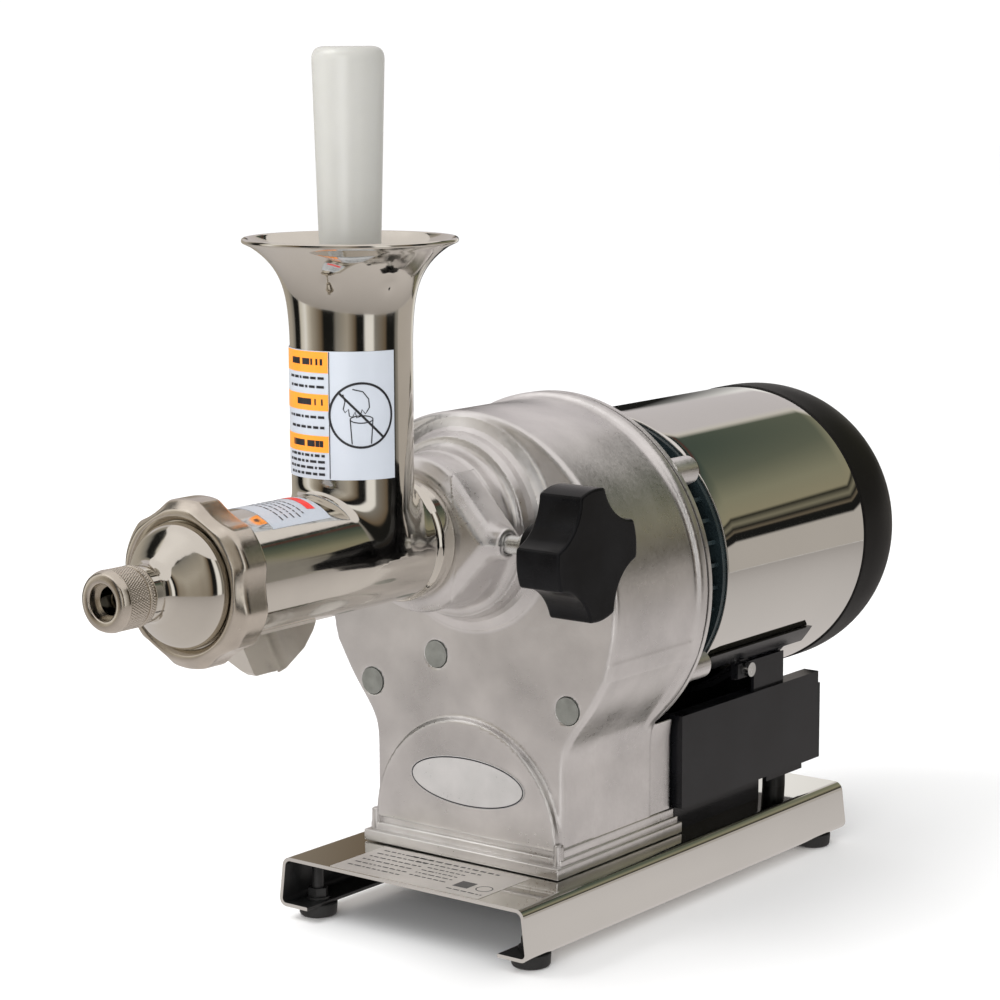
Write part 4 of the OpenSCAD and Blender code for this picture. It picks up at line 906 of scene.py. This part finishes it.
def knob_field(p):
    """The clamp knob: four lobes, a neck and the stud's hole."""
    x, y, z = p
    ry, rz = y - CLAMP_Y, z - AZ
    r = np.hypot(ry, rz)
    d2 = r - KNOB_R
    for i in range(4):
        a = math.radians(KNOB_CUT_ANGLE + i * 90)
        cut = np.hypot(ry - KNOB_CUT_AT * math.cos(a), rz - KNOB_CUT_AT * math.sin(a))
        d2 = sx(d2, KNOB_CUT_R - cut, 0.9)
    d = ext(d2, x, KX0, KX1, 1.1)
    d = sm(d, ext(r - KNOB_NECK_R, x, 58.5, 80, 1.0), 1.5)
    return np.maximum(d, -np.maximum(r - STUD_HOLE_R, x - 85))


field("knob_body", knob_field, (57, CLAMP_Y - 31, AZ - 31), (KX1 + 2, CLAMP_Y + 31, AZ + 31), 0.6, "knob",
      "knob_black", ("clamp_knob",))

# ---------------- pusher
PT, PB = hi("pusher")[2], lo("pusher")[2]
pprof = [(0.01, PB), (11.4, PB), (12.7, RIM), (14.9, PT), (0.01, PT)]
pprof = round_path(pprof, [0, 1.5, 8, 5.5, 0], 7, False)
lathe("pusher_rod", pprof, "z", (0, FY, 0), "pusher", "pusher_plastic", 128,
      closed=False, replaces=("pusher",), sharp=50)

# ---------------- printing on the labels
class Print:
    """Flat marks drawn as quads in (s, t) millimetres, then laid on a surface."""

    def __init__(self):
        self.V, self.F = [], []

    def quad(self, a, b, c, d):
        k = len(self.V)
        self.V += [a, b, c, d]
        self.F.append((k, k + 1, k + 2, k + 3))

    def bar(self, s0, t0, s1, t1, step=2.0):
        n = max(1, int(abs(s1 - s0) / step))
        for i in range(n):
            a, b = s0 + (s1 - s0) * i / n, s0 + (s1 - s0) * (i + 1) / n
            self.quad((a, t0), (b, t0), (b, t1), (a, t1))

    def line(self, pts, w, closed=False, step=1.5):
        P = [np.array(q, float) for q in pts]
        if closed:
            P.append(P[0])
        fine = [P[0]]
        for q in P[1:]:
            base = fine[-1]
            n = max(1, int(np.linalg.norm(q - base) / step))
            fine += [base + (q - base) * (k + 1) / n for k in range(n)]
        side = []
        for i in range(len(fine)):
            a = fine[i - 1] if i else (fine[-2] if closed else fine[0])
            b = fine[i + 1] if i < len(fine) - 1 else (fine[1] if closed else fine[-1])
            d = (b - a) / max(np.linalg.norm(b - a), 1e-9)
            side.append(np.array([-d[1], d[0]]) * w / 2)
        for i in range(len(fine) - 1):
            j = i + 1
            self.quad(fine[i] - side[i], fine[j] - side[j], fine[j] + side[j], fine[i] + side[i])

    def ring(self, s, t, r, w, rt=None, n=72):
        rt = r if rt is None else rt
        turns = [k / n * TAU for k in range(n)]
        self.line([(s + r * math.cos(q), t + rt * math.sin(q)) for q in turns], w, True)

    def words(self, s0, s1, t, h, seed, gap=0.32):
        """A row of short solid dashes in place of a line of type."""
        rng = np.random.default_rng(seed)
        s = s0
        while s < s1 - h:
            w = min(h * rng.uniform(0.9, 3.4), s1 - s)
            self.bar(s, t, s + w, t + h)
            s += w + h * (gap + 0.5)

    def lay(self, name, place, body, mat, slot):
        V = [place(a, b) for a, b in self.V]
        make(name, V, [list(f) for f in self.F], body, slot, sharp=80, mat=mat)


def on_feed(a, b, lift):
    """a is the length round the tube from its right edge, b the height."""
    R = TR + 0.2 + lift
    th = math.radians(-8) - a / TR
    return (R * math.cos(th), FY + R * math.sin(th), b)


LZ0, LZ1 = float(lo("safety_label")[2]), float(hi("safety_label")[2])
LH = LZ1 - LZ0
split = math.radians(62) * TR
full = math.radians(163) * TR
p_or, p_bk = Print(), Print()
rows = [(1.0, 0.83), (0.67, 0.535), (0.345, 0.21)]
for t1, t0 in rows:
    p_or.bar(split + 0.6, LZ0 + LH * t0, full - 0.3, LZ0 + LH * t1 - 0.3)
p_or.lay("label_bands", lambda a, b: on_feed(a, b, 0.09), "press", "orange_ink", "white_label")
p_bk.bar(split, LZ0 + 0.3, split + 0.35, LZ1 - 0.3)
for k, (t1, t0) in enumerate(rows):
    mid = LZ0 + LH * (t0 + t1) / 2
    p_bk.words(split + 3, split + 21, mid - 1.3, 2.6, 11 + k, 0.1)
    low = LZ0 + LH * (rows[k + 1][0] if k < 2 else 0.0)
    top = LZ0 + LH * t0
    count = 2 if k < 2 else 4
    for row in range(count):
        tt = top - (top - low) * (row + 0.75) / (count + 0.35)
        p_bk.words(split + 2.4, split + 24, tt, 1.05, 40 + 7 * k + row)
# a crossed ring round a plain mitten over an open tube
SIGN_R = 13.0
SIGN_W = 0.95
cs, ct = math.radians(33) * TR, LZ0 + LH * 0.505
p_bk.ring(cs, ct, SIGN_R, SIGN_W)
dx, dz = SIGN_R * math.cos(0.79), SIGN_R * math.sin(0.79)
p_bk.line([(cs + dx, ct + dz), (cs - dx, ct - dz)], SIGN_W)
mit = [(3.6, 10.6), (-0.6, 9.6), (-2.9, 6.6), (-3.2, 3.2), (-1.5, 0.6), (-0.2, 2.4), (0.6, -0.4), (2.0, -0.9),
       (2.6, 1.6), (3.6, -0.6), (4.9, -0.2), (5.2, 2.6), (6.6, 1.2), (7.3, 2.6), (6.6, 5.6), (7.4, 8.6)]
p_bk.line([(cs + q[0], ct + q[1]) for q in mit], 0.45)
p_bk.ring(cs, ct - 1.6, 4.6, 0.45, 1.5, 32)
p_bk.line([(cs - 4.6, ct - 1.6), (cs - 3.9, ct - 11.6)], 0.45)
p_bk.line([(cs + 4.6, ct - 1.6), (cs + 3.9, ct - 11.6)], 0.45)
p_bk.lay("label_marks", lambda a, b: on_feed(a, b, 0.12), "press", "black_ink", "white_label")

back_end = float(hi("tube_label")[1])


def on_tube(a, b):
    """a is the place along the tube, b the length round it from the top towards +X."""
    R = TR + 0.2 + 0.1
    th = math.pi / 2 - b / TR
    return (R * math.cos(th), a, AZ + R * math.sin(th))


p_red, p_gy = Print(), Print()
red_arc = [(back_end - 6 + 2.4 * math.cos(q), -9 + 14 * q) for q in np.linspace(-0.3, 1.5, 12)]
p_red.line(red_arc, 4.2)
p_red.lay("tube_label_bar", on_tube, "press", "red_ink", "white_label")
for row in range(5):
    yy = back_end - 12.5 - 3.4 * row
    rng = np.random.default_rng(row + 3)
    at = -10.0
    while at < 14:
        wd = rng.uniform(1.0, 3.0)
        p_gy.quad((yy, at), (yy + 0.8, at), (yy + 0.8, at + wd), (yy, at + wd))
        at += wd + 0.7
p_gy.lay("tube_label_marks", on_tube, "press", "grey_ink", "white_label")

dl0, dl1 = lo("data_label"), hi("data_label")
p_dl = Print()
for row in range(6):
    p_dl.words(dl0[0] + 4, dl0[0] + 33, dl1[1] - 5.6 - 5.0 * row, 1.1, 100 + row)
for row in range(4):
    p_dl.words(dl0[0] + 36, dl0[0] + 57, dl1[1] - 14.5 - 4.2 * row, 1.0, 140 + row)
p_dl.words(dl0[0] + 20, dl1[0] - 12, dl1[1] - 5.6, 1.5, 160)
p_dl.words(dl0[0] + 26, dl1[0] - 20, dl1[1] - 10.0, 1.2, 161)
p_dl.bar(dl1[0] - 21, dl0[1] + 9, dl1[0] - 13, dl0[1] + 17)
p_dl.ring(dl1[0] - 6.5, dl0[1] + 13, 3.6, 0.6)
p_dl.words(dl1[0] - 21, dl1[0] - 2, dl0[1] + 4.6, 1.0, 170)
p_dl.lay("data_label_marks", lambda a, b: (a, b, float(dl1[2]) + 0.04), "base", "grey_ink", "foil_label")

b0, b1 = lo("front_badge"), hi("front_badge")
bcx, bcz, ba, bb = (b0[0] + b1[0]) / 2, (b0[2] + b1[2]) / 2, (b1[0] - b0[0]) / 2, (b1[2] - b0[2]) / 2
p_bd = Print()
p_bd.ring(bcx, bcz, ba - 0.6, 0.6, bb - 0.6, 96)
p_bd.lay("badge_border", lambda a, b: (a, float(b0[1]) - 0.05, b), "base", "black_ink", "badge_plate")

# bevels on the carried-over nodes that show, in millimetres
for n, w in (("control_box", 0.5), ("rear_panel", 0.3), ("motor_saddle", 0.5), ("juice_spout", 0.25),
             ("switch_body", 0.5), ("switch_rocker", 0.6), ("gear_cover", 0.6), ("cord_gland", 0.5),
             ("motor_bell", 0.35), ("box_screws", 0.5), ("cover_screws", 0.6), ("case_plugs", 0.3),
             ("foot_posts", 0.3), ("clamp_stud", 0.3), ("front_badge", 0.15)):
    bevel(n, w)

# ---------------- stage
FLOOR_HALF = 9
GLOW_R = 0.95  # the glowing surfaces round the object, in metres
GLOW_H = 1.02
GLOW_SIDES = 96
WALL_SIDES = 120


def stage_mesh(name, V, F, mat):
    """Something that isn't part of the object."""
    me = bpy.data.meshes.new(name)
    me.from_pydata(V, [], F)
    me.materials.append(mat)
    ob = bpy.data.objects.new(name, me)
    bpy.context.scene.collection.objects.link(ob)
    return ob


def glow_only(ob):
    """Lets reflections alone see a stage object."""
    ob.visible_camera = False
    ob.visible_diffuse = False
    ob.visible_shadow = False
    ob.visible_transmission = False


def plain(name, color, rough, emit=None):
    m = bpy.data.materials.new(name)
    m.use_nodes = True
    b = m.node_tree.nodes["Principled BSDF"]
    b.inputs["Base Color"].default_value = (*color, 1)
    b.inputs["Roughness"].default_value = rough
    if emit:
        b.inputs["Emission Color"].default_value = (*emit, 1)
        b.inputs["Emission Strength"].default_value = 1.0
    return m


def ramp(N, L, stops, src):
    """Colours at given places of src."""
    r = N.new("ShaderNodeValToRGB")
    e = r.color_ramp.elements
    e[0].position, e[0].color = stops[0][0], (*stops[0][1], 1)
    e[1].position, e[1].color = stops[-1][0], (*stops[-1][1], 1)
    for q, c in stops[1:-1]:
        k = e.new(q)
        k.color = (*c, 1)
    L.new(src, r.inputs["Fac"])
    return r.outputs["Color"]


def glow(name, paint):
    """A material that only shines. paint(N, L, place) gives its colour."""
    m = bpy.data.materials.new(name)
    m.use_nodes = True
    N, L = m.node_tree.nodes, m.node_tree.links
    N.remove(N["Principled BSDF"])
    place = N.new("ShaderNodeTexCoord").outputs["Object"]
    em = N.new("ShaderNodeEmission")
    L.new(paint(N, L, place), em.inputs["Color"])
    L.new(em.outputs[0], N["Material Output"].inputs["Surface"])
    return m


def circle(n, z):
    return [(GLOW_R * math.cos(i / n * TAU), GLOW_R * math.sin(i / n * TAU), z) for i in range(n)]


def table_paint(N, L, place):
    """Greys away from the object."""
    far = N.new("ShaderNodeVectorMath")
    far.operation = "LENGTH"
    L.new(place, far.inputs[0])
    return ramp(N, L, [(0.15, (0.66, 0.62, 0.60)), (0.9, (0.42, 0.39, 0.37))], far.outputs["Value"])


BLACK, WHITE = (0, 0, 0), (1, 1, 1)
TONES = {"w": (0.95, 0.93, 0.9), "m": (0.42, 0.38, 0.32), "g": (0.25, 0.235, 0.21),
         "k": (0.012, 0.012, 0.011), "b": (0.16, 0.12, 0.08), "l": (0.66, 0.62, 0.55)}
# the wall's tones, in order, and the angles where they stand round the object, in degrees
WALL_TONES = "mgkklwlmbkkgmbkkwwgbkkglwkkbmm"
WALL_AT = (-180, -168, -163, -150, -146, -134, -128, -120, -104, -99, -84, -79, -62, -50, -46, -36, -32,
           -19, -15, 6, 11, 28, 33, 99, 116, 122, 131, 136, 150, 180)
HAZE = (0.5, 0.46, 0.42)
# the large panel's tones by their height, in metres
PANEL = ((0.0, HAZE), (0.20, HAZE), (0.215, TONES["k"]), (0.265, TONES["k"]), (0.275, (0.16, 0.13, 0.09)),
         (0.30, TONES["k"]), (0.33, (0.22, 0.20, 0.14)), (0.37, (0.02, 0.02, 0.015)),
         (0.39, (0.30, 0.27, 0.18)), (0.52, (0.26, 0.25, 0.17)), (0.68, (0.13, 0.14, 0.10)),
         (0.86, (0.055, 0.075, 0.06)), (0.93, (0.10, 0.03, 0.025)), (0.95, (0.05, 0.08, 0.06)),
         (0.985, TONES["k"]), (1.0, TONES["k"]))
PANEL_FROM, PANEL_TO = 218 / 360, 276 / 360  # where the panel stands, in turns
FAR_WALL = (0.62, 0.58, 0.58)  # upper part of the wall past the panel


def wall_paint(N, L, place):
    """A wall with windows and dark openings, one large panel, and a light upper part past it."""
    sep = N.new("ShaderNodeSeparateXYZ")
    L.new(place, sep.inputs[0])
    at = N.new("ShaderNodeMath")
    at.operation = "ARCTAN2"
    L.new(sep.outputs["Y"], at.inputs[0])
    L.new(sep.outputs["X"], at.inputs[1])
    u = N.new("ShaderNodeMapRange")
    u.inputs["From Min"].default_value = -math.pi
    u.inputs["From Max"].default_value = math.pi
    L.new(at.outputs[0], u.inputs["Value"])
    turn, height = u.outputs["Result"], sep.outputs["Z"]
    wall = ramp(N, L, [((a + 180) / 360, TONES[t]) for a, t in zip(WALL_AT, WALL_TONES)], turn)
    panel = ramp(N, L, PANEL, height)
    mask = ramp(N, L, [(0.0, BLACK), (PANEL_FROM, BLACK), (220 / 360, WHITE), (PANEL_TO, WHITE),
                       (278 / 360, BLACK), (1.0, BLACK)], turn)
    high = ramp(N, L, [(0.0, BLACK), (0.40, BLACK), (0.46, WHITE), (1.0, WHITE)], height)
    behind = ramp(N, L, [(0.0, BLACK), (278 / 360, BLACK), (281 / 360, WHITE), (1.0, WHITE)], turn)
    both = N.new("ShaderNodeMath")
    both.operation = "MULTIPLY"
    L.new(high, both.inputs[0])
    L.new(behind, both.inputs[1])

    def mixed(a, by):
        """Colour a, turning to another where by is 1."""
        mx = N.new("ShaderNodeMix")
        mx.data_type = "RGBA"
        L.new(by, mx.inputs["Factor"])
        L.new(a, mx.inputs["A"])
        return mx

    near = mixed(wall, mask)
    L.new(panel, near.inputs["B"])
    far = mixed(near.outputs["Result"], both.outputs[0])
    far.inputs["B"].default_value = (*FAR_WALL, 1)
    return far.outputs["Result"]


corners = [(-FLOOR_HALF, -FLOOR_HALF, 0), (FLOOR_HALF, -FLOOR_HALF, 0), (FLOOR_HALF, FLOOR_HALF, 0),
           (-FLOOR_HALF, FLOOR_HALF, 0)]
floor = stage_mesh("floor", corners, [(0, 1, 2, 3)], plain("floor_paper", (0.97, 0.97, 0.97), 0.8))
floor.visible_glossy = False
# three surfaces that only reflections see: a table top in the floor's place, a pale ceiling and a wall
fan = [(0, i + 1, (i + 1) % GLOW_SIDES + 1) for i in range(GLOW_SIDES)]
disc = [(0, 0, -MM)] + circle(GLOW_SIDES, -MM)
glow_only(stage_mesh("table_glow", disc, fan, glow("table_glow", table_paint)))
glow_only(stage_mesh("ceiling_glow", circle(GLOW_SIDES, GLOW_H), [tuple(range(GLOW_SIDES))],
                     plain("ceiling", BLACK, 1.0, (0.84, 0.80, 0.78))))
rims = [v for pair in zip(circle(WALL_SIDES, 0.0), circle(WALL_SIDES, GLOW_H)) for v in pair]
wall_faces = [(2 * i, 2 * i + 1, 2 * k + 1, 2 * k) for i in range(WALL_SIDES) for k in [(i + 1) % WALL_SIDES]]
glow_only(stage_mesh("room_ring", rims, wall_faces, glow("room_wall", wall_paint)))

w = bpy.data.worlds.new("studio")
bpy.context.scene.world = w
w.use_nodes = True
bg = w.node_tree.nodes["Background"]
bg.inputs["Color"].default_value = (1, 1, 1, 1)
bg.inputs["Strength"].default_value = 1.05


def area(name, loc, target, size, power, color=(1, 1, 1)):
    ld = bpy.data.lights.new(name, "AREA")
    ld.size = size
    ld.energy = power
    ld.color = color
    ob = bpy.data.objects.new(name, ld)
    bpy.context.scene.collection.objects.link(ob)
    d = Vector(target) - Vector(loc)
    ob.matrix_world = Matrix.Translation(Vector(loc)) @ d.to_track_quat("-Z", "Y").to_matrix().to_4x4()
    return ob


area("key", (-0.9, -1.2, 1.9), (0, 0, 0.15), 1.2, 26)
area("fill", (0.7, -2.0, 0.5), (0, 0, 0.12), 1.0, 14)
